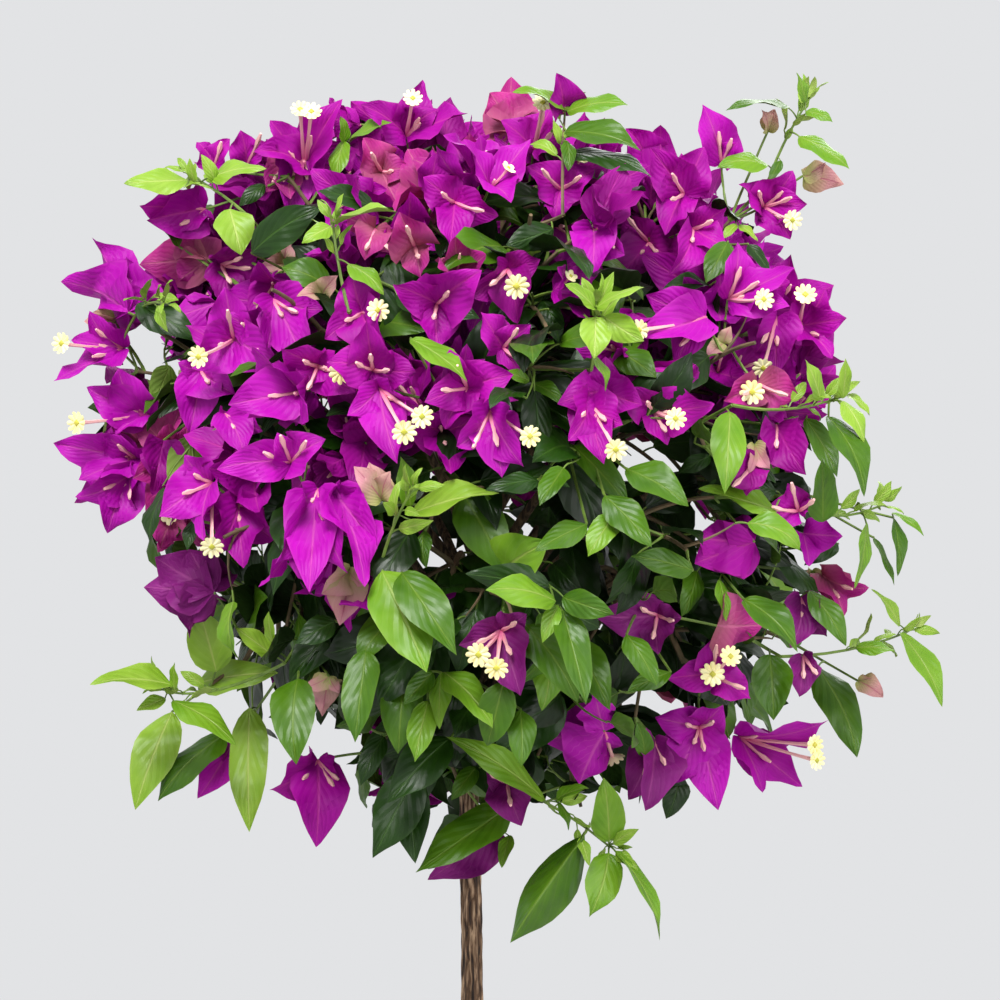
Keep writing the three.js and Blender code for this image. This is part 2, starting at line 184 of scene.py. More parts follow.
# Leaves by how far out they are: the shares up to which each tint is dealt, before "fresh". The dark tints
# inside the head are painted shade, and the brighter ones outside are partly painted light.
LEAF_TINTS = ("shade", "deep", "mid", "light")
TINT_SHARES = [(0.6, (0.8, 1, 1, 1)), (0.82, (0.28, 0.68, 0.96, 1)), (9, (0, 0.28, 0.72, 0.96))]
LEAF = {
    "length": 47, "width": 26, "thick": 0.35, "fold": 0.46, "arch": 0.34, "bend": 0.85,
    "wave": 0.09, "waves": 1.6, "sweep": 0.06, "twist": 0.6,
    "widths": (0, 0.28, 0.54, 0.80, 0.96, 1.0, 0.94, 0.80, 0.60, 0.36, 0.16, 0),
}
BRACT = {
    "length": 34, "width": 25, "thick": 0.28, "fold": 0.46, "arch": 0.16, "bend": 0.8,
    "wave": 0.12, "waves": 1.9, "sweep": 0.07, "twist": 0.6,
    "widths": (0, 0.40, 0.68, 0.90, 1.0, 0.98, 0.88, 0.72, 0.52, 0.31, 0.14, 0),
}
WIDTHS_AT = (0, 0.035, 0.09, 0.18, 0.29, 0.41, 0.53, 0.65, 0.76, 0.86, 0.94, 1)
PLAIN_ROWS = (0, 0.06, 0.16, 0.29, 0.43, 0.57, 0.70, 0.82, 0.92, 1)
COARSE_ROWS = (0, 0.09, 0.25, 0.45, 0.65, 0.84, 1)
INNER_RADIUS = 105  # leaves nearer to the head's centre than this have fewer rows
# How much room things take: a leaf and a lantern of full size, and how far they may share it.
ROOM_OF = {"leaf": 12.0, "lantern": 17.0}
SHARING = {"leaf": 0.40, "lantern": 0.29, "mixed": 0.52}
MOST_THINGS, FAR_AWAY = 9000, 1e9

# Above this line the sprays flower: elevations round the head, by azimuth.
BLOOM_LINE = [
    (-180, 2), (-130, -8), (-90, -6), (-60, -13), (-32, -10), (-16, 4), (0, 7),
    (20, 8), (45, 11), (70, 14), (95, 12), (135, 0), (180, 2),
]

# Where the head is open from front to back: across and up from its centre, and how wide.
OPENINGS = [
    (-20, -37, 6), (-36, -38, 4), (12, -27, 5), (25, -38, 3), (55, 2, 3), (66, 10, 4), (80, 3, 4),
    (92, -18, 4), (135, 0, 4), (-103, -31, 4), (-97, -68, 5), (-78, 30, 3), (-88, 20, 3), (-163, 58, 8),
    (-80, -120, 10), (-97, -133, 10), (-26, -150, 3), (62, -99, 5), (71, -104, 4), (120, -75, 3),
    (148, 5, 10), (158, -17, 9), (162, -42, 9), (166, -64, 9), (142, -97, 10), (-55, 33, 3),
]

# What stands out at the front is given by where it shows: across and up from the head's centre.
# Shoots: three such places, how far from the centre the shoot begins and ends, and for some
# that the stalk is dark.
SHOOTS = [
    ((-95, -85), (-125, -97), (-148, -98), 150, 186), ((-5, -138), (23, -148), (52, -168), 160, 190),
    ((108, 32), (130, 30), (152, 34), 160, 178), ((130, -9), (152, -18), (174, -14), 160, 186),
    ((130, -82), (160, -79), (187, -71), 165, 200), ((124, 133), (131, 150), (141, 168), 180, 212),
    ((31, 118), (31, 143), (32, 165), 165, 182, True), ((-110, 116), (-123, 127), (-138, 136), 170, 196),
    ((44, 48), (46, 64), (46, 76), 165, 182), ((-53, -48), (-47, -26), (-38, -8), 160, 180),
    ((-66, 74), (-71, 98), (-73, 114), 165, 182), ((-168, 62), (-160, 76), (-150, 78), 176, 184),
]

# Leaves: colour, where the leaf leaves its stalk, where its tip is, how many degrees its face
# is turned up from the viewer, and for some how wide and how folded they are against the others.
# The colours follow how light or dark each leaf looks: fresh and light are partly painted light on lit
# leaves, and deep is partly painted shade.
CHOSEN_LEAVES = [
    ("fresh", -139, 134, -167, 130, 35), ("fresh", -129, 135, -103, 141, 30),
    ("fresh", -120, 121, -115, 100, 10, 1.7), ("fresh", -136, 133, -137, 144, 20),
    ("deep", -110, 101, -78, 121, 20), ("deep", -104, 132, -116, 122, 10),
    ("fresh", -74, 113, -87, 105, 5, 1.2), ("fresh", -72, 114, -45, 118, 60),
    ("light", -68, 152, -72, 134, 25), ("light", -66, 151, -46, 161, 62), ("light", -68, 151, -70, 163, 40),
    ("deep", -55, 122, -80, 130, 25), ("light", -66, 96, -50, 82, 50), ("deep", -45, 82, -8, 69, 30),
    ("light", -38, 62, -10, 44, 42), ("deep", 27, 125, -6, 121, 48), ("deep", 27, 112, 6, 103, 5, 1.3),
    ("light", 32, 165, 8, 174, 60), ("light", 33, 165, 61, 168, 42), ("mid", 32, 156, 66, 147, 38),
    ("deep", 34, 146, 72, 136, 45), ("mid", 33, 152, 34, 138, 30), ("mid", 134, 167, 106, 165, 62),
    ("light", 141, 169, 137, 183, 30), ("light", 141, 165, 154, 161, 45), ("light", 138, 154, 161, 139, 40),
    ("light", 124, 141, 101, 140, 45), ("mid", 130, 143, 125, 133, 30), ("fresh", 46, 75, 32, 87, 52),
    ("fresh", 46, 76, 68, 86, 52), ("fresh", 46, 72, 45, 53, 5, 1.55), ("fresh", 50, 72, 66, 59, 12, 1.3),
    ("light", 44, 55, 52, 38, 45), ("deep", 22, 80, 30, 60, 20), ("light", 16, 43, 4, 48, 20),
    ("mid", 17, 42, 33, 33, 40), ("fresh", -37, -17, 2, -10, 38, 1.0), ("light", -38, -14, -44, 8, 30),
    ("light", -51, -43, -30, -89, 8), ("mid", -42, -44, -18, -82, 15, 0.95),
    ("mid", -32, -25, -31, -42, 30), ("deep", 25, -50, -13, -43, 12, 0.9), ("light", 28, -57, -4, -52, 48),
    ("mid", 31, -55, 54, -64, 5, 1.15), ("light", 29, -59, 20, -75, 10),
    ("mid", 31, -61, 40, -104, 20, 0.85), ("light", 54, -18, 43, -37, 5, 1.25),
    ("mid", 42, -22, 18, -34, 25), ("mid", 36, 14, 58, -15, 32), ("mid", 50, -9, 73, -31, 18),
    ("mid", 60, 3, 89, -13, 35), ("light", 107, 29, 103, -8, 5), ("light", 128, -16, 93, -8, 52),
    ("deep", 128, -7, 111, -5, 20), ("mid", 151, 27, 171, -9, 30, 0.95),
    ("fresh", 158, 34, 168, 15, 30, 1.1), ("mid", 149, -21, 147, 7, 15, 1.3),
    ("fresh", 148, 34, 140, 52, 25, 1.2), ("fresh", 158, 35, 158, 53, 30, 0.9),
    ("fresh", 160, 37, 170, 27, 40), ("mid", 141, 26, 158, 0, 40, 0.8),
    ("fresh", 154, 35, 166, 43, 45, 0.9), ("light", 169, -21, 163, -51, 42, 0.7),
    ("mid", 172, -28, 183, -50, 55, 0.6), ("mid", 181, -19, 184, -46, 40, 0.6),
    ("light", 180, -17, 194, -28, 52, 0.6), ("fresh", 184, -68, 170, -53, 40, 0.8),
    ("light", 184, -71, 203, -105, 48, 0.7), ("light", 164, -78, 182, -78, 25),
    ("mid", 125, -81, 127, -111, 5, 1.2), ("mid", 146, -86, 168, -127, 40), ("mid", 113, -56, 139, -79, 28),
    ("deep", 156, -31, 140, -40, 15), ("mid", 143, -52, 157, -78, 28), ("light", 102, -47, 105, -66, 42),
    ("mid", 92, -43, 85, -64, 15), ("mid", 90, -43, 62, -37, 35), ("light", 52, -166, 49, -137, 15, 1.2),
    ("light", 52, -171, 46, -201, 12, 1.2), ("light", 55, -170, 75, -211, 50, 0.6),
    ("mid", 41, -163, 6, -211, 10, 0.85, -1.6), ("fresh", 54, -167, 65, -159, 25),
    ("fresh", 55, -171, 66, -178, 35), ("fresh", 39, -164, 42, -177, 30), ("light", 7, -163, 5, -178, 20),
    ("light", 28, -147, 43, -141, 45), ("mid", 29, -148, 34, -161, 55),
    ("light", 23, -147, -22, -121, 58, 0.7), ("mid", 7, -150, -34, -182, 22, 0.85),
    ("light", -30, -102, -36, -130, 8, 1.15), ("light", -24, -89, -25, -115, 30),
    ("light", -23, -89, 0, -114, 35), ("mid", -28, -89, -41, -104, 10),
    ("mid", -58, -79, -61, -121, 12, 0.95), ("mid", -89, -92, -93, -131, 8, 1.05),
    ("fresh", -111, -105, -108, -161, 25, 0.8), ("fresh", -146, -107, -161, -152, 8),
    ("light", -146, -102, -117, -122, 45), ("mid", -122, -117, -150, -149, 45),
    ("fresh", -146, -95, -184, -92, 48), ("fresh", -149, -101, -162, -107, 25),
    ("fresh", -145, -97, -144, -85, 35), ("fresh", -126, -89, -132, -58, 5, 1.25),
    ("fresh", -135, -94, -98, -90, 32), ("mid", 12, -106, 12, -132, 5, 1.3),
    ("deep", -35, -134, -56, -173, 10), ("deep", -42, -134, -32, -175, 15),
    ("deep", -20, -119, -49, -148, 20), ("mid", -8, -132, -20, -147, 15),
    ("deep", -50, -118, -62, -140, 15), ("deep", -72, -66, -91, -75, 10, 1.2),
    ("fresh", -100, -82, -118, -69, 40), ("fresh", -99, -80, -101, -62, 45),
    ("light", -137, 18, -141, -9, 150, 1.2), ("light", -147, 50, -155, 32, 150, 1.3),
    ("deep", -148, -5, -157, -31, 55), ("deep", -136, -20, -139, -34, 30), ("deep", -162, 78, -136, 59, 30),
    ("mid", -143, 104, -153, 116, 55), ("deep", 20, -2, -4, -7, 25), ("mid", 60, -72, 72, -96, 25),
    ("mid", 68, -127, 66, -111, 20), ("deep", 84, -136, 79, -156, 10, 1.3), ("mid", 80, -89, 61, -99, 40),
    ("mid", 106, 106, 97, 87, 20), ("deep", 115, 105, 125, 92, 15), ("deep", 98, 86, 75, 84, 55),
    ("fresh", 110, 114, 104, 107, 30), ("fresh", 111, 114, 119, 106, 30), ("deep", 131, 25, 144, 11, 20),
    ("deep", 98, 9, 83, 0, 20),
]

# Lanterns of bracts: colour, 1 where it opens towards the viewer and -1 where it opens away,
# where it leaves its stalk, where its bracts' tips are, and then where any open flowers are.
# Most lanterns towards the lit left have the bright tint, which there is partly painted light.
CHOSEN_LANTERNS = [
    ("bright", -1, (-166, 74), [(-184, 107), (-164, 99), (-196, 91), (-151, 80)]),
    ("vivid", 1, (-131, 121), [(-160, 126), (-158, 118), (-143, 109)]),
    ("rose", -1, (-130, 98), [(-161, 98), (-142, 87), (-139, 116)]),
    ("deep", 1, (-124, 96), [(-100, 90), (-107, 105), (-121, 76)]),
    ("vivid", 1, (-86, 140), [(-67, 169), (-109, 150), (-102, 161)], (-88, 166), (-83, 165)),
    ("bright", 1, (-87, 150), [(-98, 119), (-80, 124)]),
    ("vivid", 1, (-127, 140), [(-134, 152), (-120, 153)]),
    ("vivid", 1, (-112, 141), [(-114, 157), (-105, 150)]),
    ("rose", 1, (-93, 145), [(-104, 129), (-94, 125)]),
    ("vivid", 1, (-40, 154), [(-34, 180), (-61, 166), (-12, 163), (-27, 168)], (-37, 171)),
    ("rose", -1, (8, 156), [(7, 181), (-3, 173), (15, 172)]),
    ("vivid", 1, (31, 164), [(27, 182), (35, 176)]),
    ("vivid", 1, (18, 148), [(24, 168), (2, 159), (30, 152)], (22, 169)),
    ("bright", 1, (-52, 40), [(-49, 5), (-33, 30), (-66, 26)], (-41, 20), (-33, 27)),
    ("vivid", 1, (-55, 48), [(-36, 45), (-58, 70), (-76, 52)]),
    ("bright", 1, (-2, 30), [(6, 0), (15, 6), (-16, 12)], (16, 18)),
    ("vivid", 1, (-12, 40), [(-32, 34), (-18, 58), (8, 48), (-24, 22)]),
    ("vivid", 1, (4, 58), [(15, 70), (-8, 72), (12, 47)]),
    ("vivid", 1, (43, 34), [(45, 5), (32, 18), (58, 22)], (55, 12)),
    ("vivid", 1, (50, 38), [(28, 36), (66, 30), (52, 54)]),
    ("vivid", 1, (72, 30), [(100, 29), (79, 14), (60, 42)], (82, 26)),
    ("bright", 1, (96, 72), [(67, 59), (68, 80), (82, 49)], (66, 66)),
    ("bright", 1, (106, 80), [(110, 106), (137, 90), (134, 77)], (122, 80)),
    ("vivid", 1, (138, 68), [(152, 84), (160, 70), (155, 54)], (141, 82)),
    ("vivid", 1, (128, 72), [(131, 46), (117, 58)], (122, 49)),
    ("rose", 1, (119, 42), [(138, 36), (104, 34)], (117, 38)),
    ("vivid", 1, (122, 122), [(142, 124), (134, 107), (137, 137), (112, 134)], (135, 116)),
    ("bright", 1, (103, 141), [(96, 169), (110, 152)]), ("vivid", 1, (68, 143), [(61, 159), (74, 150)]),
    ("vivid", 1, (86, 128), [(97, 148), (71, 149), (75, 110)]),
    ("vivid", 1, (90, 112), [(105, 122), (80, 90), (105, 102)]),
    ("deep", 1, (70, 106), [(88, 91), (57, 87), (59, 120)]),
    ("bright", 1, (45, 112), [(31, 97), (48, 89), (60, 102)]),
    ("deep", 1, (6, 94), [(21, 98), (-12, 82), (14, 70)], (10, 86)),
    ("vivid", 1, (-60, 74), [(-49, 56), (-77, 62), (-66, 92)], (-53, 75)),
    ("vivid", 1, (-80, 50), [(-62, 40), (-95, 60), (-84, 38)], (-70, 47)),
    ("bright", 1, (-168, 58), [(-197, 41), (-192, 60), (-186, 73)], (-196, 60)),
    ("bright", 1, (-158, 28), [(-186, 37), (-172, 48), (-170, 18)], (-189, 24)),
    ("bright", 1, (-162, 8), [(-200, 15), (-186, -4), (-176, 20)]),
    ("bright", 1, (-164, 2), [(-178, -25), (-160, -16), (-190, -10)]),
    ("deep", 1, (-150, 16), [(-158, -8), (-147, -6)]),
    ("bright", 1, (-133, 48), [(-135, 19), (-118, 36), (-144, 50)]),
    ("bright", 1, (-122, 28), [(-105, 20), (-115, 9)]),
    ("bright", 1, (-118, 62), [(-96, 50), (-138, 50), (-121, 86)], (-134, 54)),
    ("bright", 1, (-100, 80), [(-82, 51), (-104, 58), (-78, 72)]),
    ("bright", 1, (-128, -3), [(-153, -17), (-133, -30), (-142, 8)], (-128, -32)),
    ("vivid", 1, (-116, -12), [(-115, -42), (-129, -36), (-99, -28)]),
    ("bright", 1, (-92, 6), [(-126, 6), (-97, 20), (-76, 14)]),
    ("bright", 1, (-80, -6), [(-102, -37), (-84, -53), (-66, -44)]),
    ("bright", 1, (-72, -8), [(-54, -34), (-56, -12), (-64, -50)]),
    ("dull", -1, (-127, -53), [(-159, -51), (-154, -37), (-141, -73), (-136, -33)]),
    ("bright", 1, (-119, -121), [(-131, -148), (-122, -130)]),
    ("vivid", 1, (-80, -129), [(-102, -143), (-84, -168), (-70, -141), (-72, -134)]),
    ("dull", 1, (3, -70), [(-16, -77), (14, -99), (15, -63)], (-7, -81), (1, -87)),
    ("bright", -1, (50, -116), [(22, -120), (38, -140), (45, -98)], (54, -128)),
    ("dull", 1, (6, -139), [(12, -159), (-3, -133)]), ("dull", 1, (0, -160), [(-29, -185)]),
    ("dull", 1, (73, -120), [(66, -151), (59, -146), (82, -134)]),
    ("vivid", 1, (99, -90), [(78, -91), (117, -100), (101, -70)], (99, -90), (107, -82)),
    ("bright", 1, (93, -114), [(74, -107), (82, -141), (104, -151), (104, -104)]),
    ("bright", 1, (111, -118), [(151, -110), (139, -142), (119, -144)], (145, -122), (146, -129)),
    ("vivid", -1, (118, -30), [(92, -42), (92, -26)]),
    ("vivid", 1, (138, -16), [(122, -20), (134, -3), (145, -12)]),
    ("bright", 1, (140, -26), [(158, -27), (142, -41)]), ("deep", 1, (128, 23), [(141, 0), (125, 4)]),
    ("deep", 1, (118, 6), [(104, -5), (113, -9)]),
    ("rose", 1, (148, -44), [(170, -51), (160, -63), (153, -56)]),
    ("dull", 1, (139, -55), [(151, -73), (136, -79)]), ("rose", -1, (101, -68), [(122, -70)]),
    ("dull", 1, (140, -81), [(137, -100), (146, -88)]),
    ("dull", 1, (74, -63), [(45, -66), (85, -65), (72, -81), (61, -55)]),
    ("rose", 1, (-51, 138), [(-61, 152), (-46, 121), (-38, 140)]),
    ("rose", 1, (-54, 112), [(-68, 119), (-43, 101), (-60, 98)]),
    ("rose", 1, (-36, 104), [(-32, 90), (-42, 120)]),
    ("vivid", 1, (-18, 124), [(-32, 136), (2, 118), (-20, 104)]),
    ("vivid", 1, (-26, 78), [(-8, 96), (-44, 90), (-28, 58)]),
    ("vivid", 1, (30, 130), [(16, 142), (46, 138), (26, 116)]),
    ("bright", 1, (-104, 66), [(-122, 72), (-92, 64), (-108, 48)]),
]

# Young lanterns, still pale, in the same way.
YOUNG_LANTERNS = [
    (1, (-51, -11), [(-64, 4), (-57, 6), (-47, 2)]), (1, (-66, -43), [(-79, -52), (-67, -68), (-59, -50)]),
    (-1, (-75, -91), [(-79, -109), (-86, -97), (-71, -99)]), (-1, (140, 136), [(159, 134), (151, 141)]),
    (1, (124, 156), [(121, 166), (128, 166)]), (1, (-172, 70), [(-186, 70), (-181, 74)]),
    (1, (-95, 96), [(-107, 95), (-92, 107), (-99, 90)]), (1, (-78, 82), [(-90, 83), (-72, 92)]),
    (1, (104, 60), [(96, 54), (107, 68)]), (1, (118, 14), [(125, 3), (114, 2)]),
    (1, (165, -93), [(174, -92), (176, -101)]), (1, (144, -43), [(138, -50), (150, -52)]),
]

# How far from the centre chosen leaves and lanterns leave their stalks.
LEAVES_REACH, LANTERNS_REACH = 166, 158

# ---- The camera, level and square to the front ----
VIEW = {"across": 13.6, "height": 521, "distance": 1100, "width": 453.5}


def placed(name, data):
    """A new object in the scene."""
    made = bpy.data.objects.new(name, data)
    bpy.context.scene.collection.objects.link(made)
    return made


def make_camera():
    """A camera that sees VIEW's width at the distance of the head's middle."""
    camera = placed("camera", bpy.data.cameras.new("camera"))
    camera.data.lens = camera.data.sensor_width * VIEW["distance"] / VIEW["width"]
    camera.location = (VIEW["across"] * MM, -VIEW["distance"] * MM, VIEW["height"] * MM)
    camera.rotation_euler = (math.pi / 2, 0, 0)
    camera.data.clip_start = 0.02
    bpy.context.scene.camera = camera


make_camera()


# ---- Small helpers ----
def lerp(a, b, t):
    return a + (b - a) * t


def unit(v):
    return v / np.linalg.norm(v)


class Draw:
    """The same numbers on every run, as the frame's limbs use them."""

    def __init__(self, seed):
        self.state = seed

    def __call__(self):
        self.state = (self.state * 1664525 + 1013904223) % 2**32
        return self.state / 2**32

    def between(self, low, high):
        return lerp(low, high, self())


def direction(azimuth, elevation):
    a, e = math.radians(azimuth), math.radians(elevation)
    return np.array([math.sin(a) * math.cos(e), -math.cos(a) * math.cos(e), math.sin(e)])


def angles_of(heading):
    return math.degrees(math.atan2(heading[0], -heading[1])), math.degrees(math.asin(heading[2]))


def sides_of(along):
    """Two unit vectors square to a direction, the second as near to upright as it can be."""
    level = np.array([1.0, 0.0, 0.0]) if abs(along[2]) > 0.95 else UP
    side = unit(np.cross(along, level))
    return side, unit(np.cross(side, along))


def turned(along, away, bearing):
    """A direction turned away from another by an angle, towards a bearing round it."""
    side, over = sides_of(along)
    b, a = math.radians(bearing), math.radians(away)
    outward = side * math.cos(b) + over * math.sin(b)
    return unit(along * math.cos(a) + outward * math.sin(a))


def bend(start, middle, end, t):
    """A point or points on the curve that leaves start towards middle and arrives at end."""
    t = np.asarray(t, float)[..., None]
    return (1 - t) ** 2 * start + 2 * (1 - t) * t * middle + t**2 * end


class Limb:
    """A limb's curve, with the chain of straight steps that the frame's limb has."""

    def __init__(self, start, middle, end, steps):
        self.start, self.middle, self.end, self.steps = start, middle, end, steps
        self.chain = bend(start, middle, end, np.linspace(0, 1, steps + 1))
        self.length = float(np.linalg.norm(np.diff(self.smooth(12), axis=0), axis=1).sum())

    def smooth(self, steps):
        return bend(self.start, self.middle, self.end, np.linspace(0, 1, steps + 1))

    def step_at(self, t):
        return min(self.steps - 1, max(0, math.floor(t * self.steps)))

    def point_at(self, t):
        k = self.step_at(t)
        return lerp(self.chain[k], self.chain[k + 1], t * self.steps - k)

    def heading_at(self, t):
        k = self.step_at(t)
        return unit(self.chain[k + 1] - self.chain[k])

    def on_curve(self, t):
        return bend(self.start, self.middle, self.end, t)

    def along_curve(self, t):
        return unit(self.on_curve(min(1, t + 0.02)) - self.on_curve(max(0, t - 0.02)))


def arching(start, end, arch, steps):
    middle = lerp(start, end, 0.5) + UP * arch * np.linalg.norm(end - start)
    return Limb(start, middle, end, steps)


# ---- Where the stem, the boughs and each mass's own space are ----
def stem_axis(z):
    t = np.clip((z - HEAD_BASE) / (STEM_TOP - HEAD_BASE), 0, 1)
    lean = t * t * (3 - 2 * t) * STEM_LEAN
    x = lean + STEM_SWAY * np.sin(z / 38)
    y = STEM_SWAY * np.sin(z / 53)
    return np.stack([x, y, z * np.ones_like(x)], -1)


def stem_radius(z):
    low = lerp(STEM_RADIUS["ground"], STEM_RADIUS["head_base"], z / HEAD_BASE)
    t = (z - HEAD_BASE) / (STEM_TOP - HEAD_BASE)
    return np.where(z < HEAD_BASE, low, lerp(STEM_RADIUS["head_base"], STEM_RADIUS["tip"], t))


out_of = [direction(azimuth, elevation) for _, azimuth, elevation, _ in MASSES]
reach_of = [reach for *_, reach in MASSES]
cells = np.array([HEAD_CENTRE + out * reach * CELL_SHARE for out, reach in zip(out_of, reach_of)])
by_height = sorted(range(len(MASSES)), key=lambda i: MASSES[i][2])


def bough_line(index):
    """A mass's bough: the lower the mass lies, the lower its bough leaves the stem."""
    rank = by_height.index(index) / (len(MASSES) - 1)
    start = stem_axis(np.float64(lerp(BOUGH["lowest"], BOUGH["highest"], rank)))
    end = HEAD_CENTRE + out_of[index] * reach_of[index] * BOUGH_SHARE
    return arching(start, end, BOUGH["arch"], BOUGH["steps"])


boughs = [bough_line(index) for index in range(len(MASSES))]
stem_heights = np.linspace(0, STEM_TOP, 91)
limb_points = np.vstack(
    [stem_axis(stem_heights)] + [[b.point_at(i / 12) for i in range(13)] for b in boughs]
)
limb_radii = np.concatenate([stem_radius(stem_heights), np.full(13 * len(boughs), BOUGH["base"])])


def in_cell(index, points, gap=CELL_GAP):
    """Whether all points are nearer to this mass's middle than to any other mass's."""
    apart = np.delete(cells, index, 0) - cells[index]
    half = np.linalg.norm(apart, axis=1) / 2
    across = (np.atleast_2d(points) - cells[index]) @ (apart / (2 * half[:, None])).T
    return bool((across < half - gap).all())


def clear_of_limbs(points, gap):
    away = np.linalg.norm(np.atleast_2d(points)[:, None] - limb_points[None], axis=2)
    return bool((away > limb_radii + gap).all())


def fits(index, points):
    away = np.linalg.norm(np.atleast_2d(points) - HEAD_CENTRE, axis=1)
    within_reach = bool((away < reach_of[index]).all())
    return within_reach and in_cell(index, points) and clear_of_limbs(points, LIMB_GAP)


# ---- Spines and twigs, by the rule of the frame's own ----
def spine_of(index):
    """A mass's own stem, which carries on from its bough."""
    bough = boughs[index]
    start = bough.point_at(1) + bough.heading_at(1) * GAP
    end = HEAD_CENTRE + out_of[index] * reach_of[index] * SPINE["share"]
    straight = np.linalg.norm(end - start) * SPINE["straight"]
    return Limb(start, start + bough.heading_at(1) * straight, end, SPINE["steps"])


def twigs_of(index, spine, draw):
    """Twigs round a spine, each shortened until it keeps to its mass's space, or left out."""
    twigs = []
    last = TWIG["count"] - 1
    for i in range(TWIG["count"]):
        away = TWIG["spread"] * math.sqrt(i / last)
        bearing = i * GOLDEN_ANGLE + TWIG["wander"] * (draw() - 0.5)
        share = draw.between(*TWIG["lengths"]) if i else 1
        heading = turned(out_of[index], away, bearing)
        root = lerp(TWIG_ROOTS["highest"], TWIG_ROOTS["lowest"], i / last) if i else TWIG_ROOTS["first"]
        start = spine.point_at(root)
        end = HEAD_CENTRE + heading * (reach_of[index] - TWIG["overhang"]) * share
        shrink = 1.0
        while shrink > TWIG["least"]:
            twig = arching(start, lerp(start, end, shrink), TWIG["arch"], TWIG["steps"])
            if fits(index, [twig.point_at(t) for t in TWIG["tested"]]):
                twigs.append(twig)
                break
            shrink -= TWIG_SHRINK
    return twigs


# ---- Shapes that are repeated: a tube and a blade, as arrays ----
class Shape:
    """A small mesh that many copies are made of: its corners, triangles and slots."""

    def __init__(self, shape, slot_of=lambda middle: 0):
        bmesh.ops.recalc_face_normals(shape, faces=shape.faces)
        bmesh.ops.triangulate(shape, faces=shape.faces)
        shape.verts.index_update()
        self.corners = np.array([v.co for v in shape.verts])
        self.faces = np.array([[v.index for v in f.verts] for f in shape.faces])
        self.slots = np.array([slot_of(f.calc_center_median()) for f in shape.faces])
        shape.free()


def closed_tubes(parts, sides, steps, scale, join):
    """Closed round shapes: each part says where a turn and a share of the length lie."""
    bm = bmesh.new()
    for part in parts:
        made = bmesh.ops.create_grid(bm, x_segments=sides, y_segments=steps, size=1)["verts"]
        for v in made:
            v.co = np.array(part(math.pi * (v.co.x + 1), (v.co.y + 1) / 2)) * scale
    bmesh.ops.remove_doubles(bm, verts=bm.verts, dist=join)
    bmesh.ops.holes_fill(bm, edges=[e for e in bm.edges if e.is_boundary], sides=0)
    return bm


def tube_shape(sides, steps):
    """A closed tube: corners hold (cosine, sine, share of the length)."""

    def part(turn, share):
        return math.cos(turn), math.sin(turn), share

    return Shape(closed_tubes([part], sides, steps, 1, 1e-4))


def blade_sheet(bm, places, rows, side):
    columns, last = len(places) - 1, len(rows) - 1
    made = bmesh.ops.create_grid(bm, x_segments=2 * columns, y_segments=last, size=1)["verts"]
    for v in made:
        row = round((v.co.y + 1) / 2 * last)
        step = round(v.co.x * columns)
        x = 0 if row in (0, last) else math.copysign(places[abs(step)], step)
        v.co = (x, 0 if row in (0, last) or abs(step) == columns else side, rows[row])


def blade_shape(rows):
    """Two sheets that share their border: corners hold (share of the half width, which sheet,
    share of the length). Slot 0 is the upper face and slot 1 the underside."""
    bm = bmesh.new()
    blade_sheet(bm, (0, 0.5, 1), rows, 1)
    blade_sheet(bm, (0, 1), rows, -1)
    bmesh.ops.remove_doubles(bm, verts=bm.verts, dist=1e-5)
    return Shape(bm, lambda middle: 1 if middle.y < 0 else 0)


def finished(name, mesh, materials, smooth_angle):
    """A piece of the plant: its mesh with its materials, on its body."""
    for material in materials:
        mesh.materials.append(material)
    mesh.set_sharp_from_angle(angle=math.radians(smooth_angle))
    piece = placed(name, mesh)
    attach(piece, "root")
    return piece


class Heap:
    """Gathers the copies of one kind of thing, and makes one mesh of them."""

    def __init__(self, name, materials, slot):
        self.name, self.materials, self.slot = name, materials, slot
        self.points, self.faces, self.uvs, self.slots = [], [], [], []
        self.count = 0

    def add(self, shape, points, uv):
        self.points.append(points)
        self.faces.append(shape.faces + self.count)
        self.uvs.append(uv)
        self.slots.append(shape.slots)
        self.count += len(points)

    def piece(self):
        mesh = bpy.data.meshes.new(self.name)
        points = np.vstack(self.points) * MM
        faces = np.vstack(self.faces)
        mesh.from_pydata(points.tolist(), [], faces.tolist())
        uv = mesh.uv_layers.new(name="UVMap")
        uv.data.foreach_set("uv", np.vstack(self.uvs)[faces.ravel()].astype(np.float32).ravel())
        mesh.polygons.foreach_set("material_index", np.concatenate(self.slots).astype(np.int32))
        mesh.polygons.foreach_set("use_smooth", np.ones(len(faces), bool))
        return finished(self.name, mesh, self.materials, 60)


TWIG_TUBE = tube_shape(6, 8)
SPRAY_TUBE = tube_shape(5, 6)
STALK_TUBE = tube_shape(4, 4)
FLOWER_TUBE = tube_shape(5, 5)
STAR_RING = tube_shape(20, 3)
FINE_STAR_RING = tube_shape(40, 3)
FINE_BLADE = blade_shape(WIDTHS_AT)
PLAIN_BLADE = blade_shape(PLAIN_ROWS)
INNER_BLADE = blade_shape(COARSE_ROWS)


def add_tube(heap, shape, path, radii):
    """A tube along a path of points, one for each of the shape's rings."""
    rings = len(path) - 1
    headings = np.gradient(path, axis=0)
    frames = [sides_of(unit(h)) for h in headings]
    side, over = (np.array([f[k] for f in frames]) for k in (0, 1))
    cosine, sine, share = shape.corners.T
    ring = np.rint(share * rings).astype(int)
    outward = cosine[:, None] * side[ring] + sine[:, None] * over[ring]
    points = path[ring] + np.asarray(radii)[ring][:, None] * outward
    turn = np.arctan2(sine, cosine) / (2 * math.pi)
    heap.add(shape, points, np.stack([turn, share], 1))


